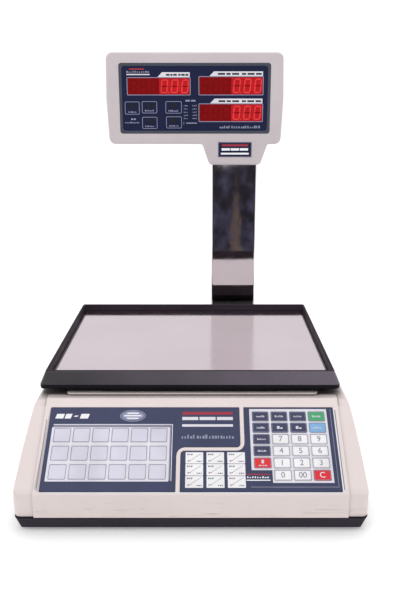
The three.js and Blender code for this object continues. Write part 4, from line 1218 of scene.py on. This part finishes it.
def make_dark_card():
    """Dark glowing sheet in front of the scale, upright and then along the floor, painted with what the mast
    reflects: only gloss sees it.
    """
    bm = bmesh.new()
    back = CAD_BOX[0].y - 0.52
    left, right, top, lowest = -0.8, 0.9, 0.25, 0.001
    rows = [[bm.verts.new((left, back + near, z)), bm.verts.new((right, back + far, z))]
            for near, far, z in ((0, 0, top), (0, 0, lowest), (0.13, 0.30, lowest))]
    for one, two in zip(rows, rows[1:]):
        bm.faces.new((one[0], one[1], two[1], two[0]))
    made = Shader("card_cloth", (0.0, 0.0, 0.0), 1.0)
    # Painted reflection: blue-grey patches on near black, and a brown streak that narrows upwards.
    reflection_mottle = made.noise(1.0, 4, made.stretched((10, 14, 17)), 0.6)
    patches = made.ranged(reflection_mottle, 0.42, 0.66, 0, 1)
    ground = made.mixed(patches, (0.012, 0.010, 0.018), (0.065, 0.065, 0.115))
    x, _, z = made.axes()
    aside = made.math("ABSOLUTE", made.math("SUBTRACT", x, 0.121), 0)
    wavy = made.math("ADD", aside, made.ranged(made.noise(30, 4), 0.3, 0.7, -0.018, 0.018))
    taper = made.math("ADD", wavy, made.ranged(z, 0.04, 0.20, 0, 0.036))
    streak = made.ranged(taper, 0.020, 0.046, 1, 0)
    made.drive("Emission Color", made.mixed(streak, ground, (0.105, 0.074, 0.066)))
    made.set("Emission Strength", 1.0)
    stage_sheet("dark_card", bm, made, ("camera", "diffuse", "shadow"))


LIGHT_TARGET = Vector((0, 0, 0.15))


def make_light():
    world = bpy.data.worlds.new("studio")
    bpy.context.scene.world = world
    world.use_nodes = True
    background = world.node_tree.nodes["Background"].inputs
    background["Color"].default_value = (1, 1, 1, 1)
    background["Strength"].default_value = 0.80
    for name, place, size, power in (("key_light", (-0.9, -1.1, 1.9), 1.6, 5),
                                     ("top_light", (0.2, 0.4, 2.2), 2.0, 12)):
        light = set_all(bpy.data.lights.new(name, "AREA"), shape="DISK", size=size, energy=power)
        lamp = in_scene(name, light)
        lamp.location = place
        aim = LIGHT_TARGET - Vector(place)
        lamp.rotation_euler = aim.to_track_quat("-Z", "Y").to_euler()
    bpy.context.scene.view_settings.view_transform = "Standard"


CAMERA_HEIGHT = 0.456  # metres
CAMERA_AHEAD = 0.547  # in front of the base
CAMERA_X = 0.015
CAMERA_PITCH = 14.5  # degrees below level
CAMERA_LENS = 35.94
CAMERA_SHIFT = (-0.0075, -0.0874)


def make_camera():
    across, up = CAMERA_SHIFT
    data = set_all(bpy.data.cameras.new("camera"), sensor_width=36, lens=CAMERA_LENS,
                   shift_x=across, shift_y=up, clip_start=0.01)
    camera = in_scene("camera", data)
    camera.location = (CAMERA_X, CAD_BOX[0].y - CAMERA_AHEAD, CAMERA_HEIGHT)
    camera.rotation_euler = (math.radians(90 - CAMERA_PITCH), 0, 0)
    bpy.context.scene.camera = camera


# ---- build
for node_name, node_object in NODES.items():
    node_object.material_slots[0].material = MATERIALS[SLOT_OF[node_name]]

make_camera()
make_light()
make_floor()
make_backdrop()
make_dark_card()

soft_copy("upper_housing", 0.5 * MM, 3, cutting=rear_cutting())
soft_copy("base_tray", 0.6 * MM)
soft_copy("printer_door", 0.35 * MM)
soft_copy("head_front_shell")
soft_copy("head_rear_shell", cutting=head_cutting())
soft_copy("platter_tray", 0.3 * MM)
platter_rim()
mast_skin()
key_places = key_spans()
key_caps(key_places)
left_film_print()
film_edges()
generic_header()
double_keys()
numeric_field(key_places)
window_digits("front", on_front, -1.12)
screen_print("front", on_front)
screen_bezel("front", on_front)
rear_windows()
window_digits("rear", on_rear, 0.09)
screen_print("rear", on_rear)
screen_bezel("rear", on_rear, 0.48)
neck_badge_print()
rear_fittings()
underside()
mast_gasket()
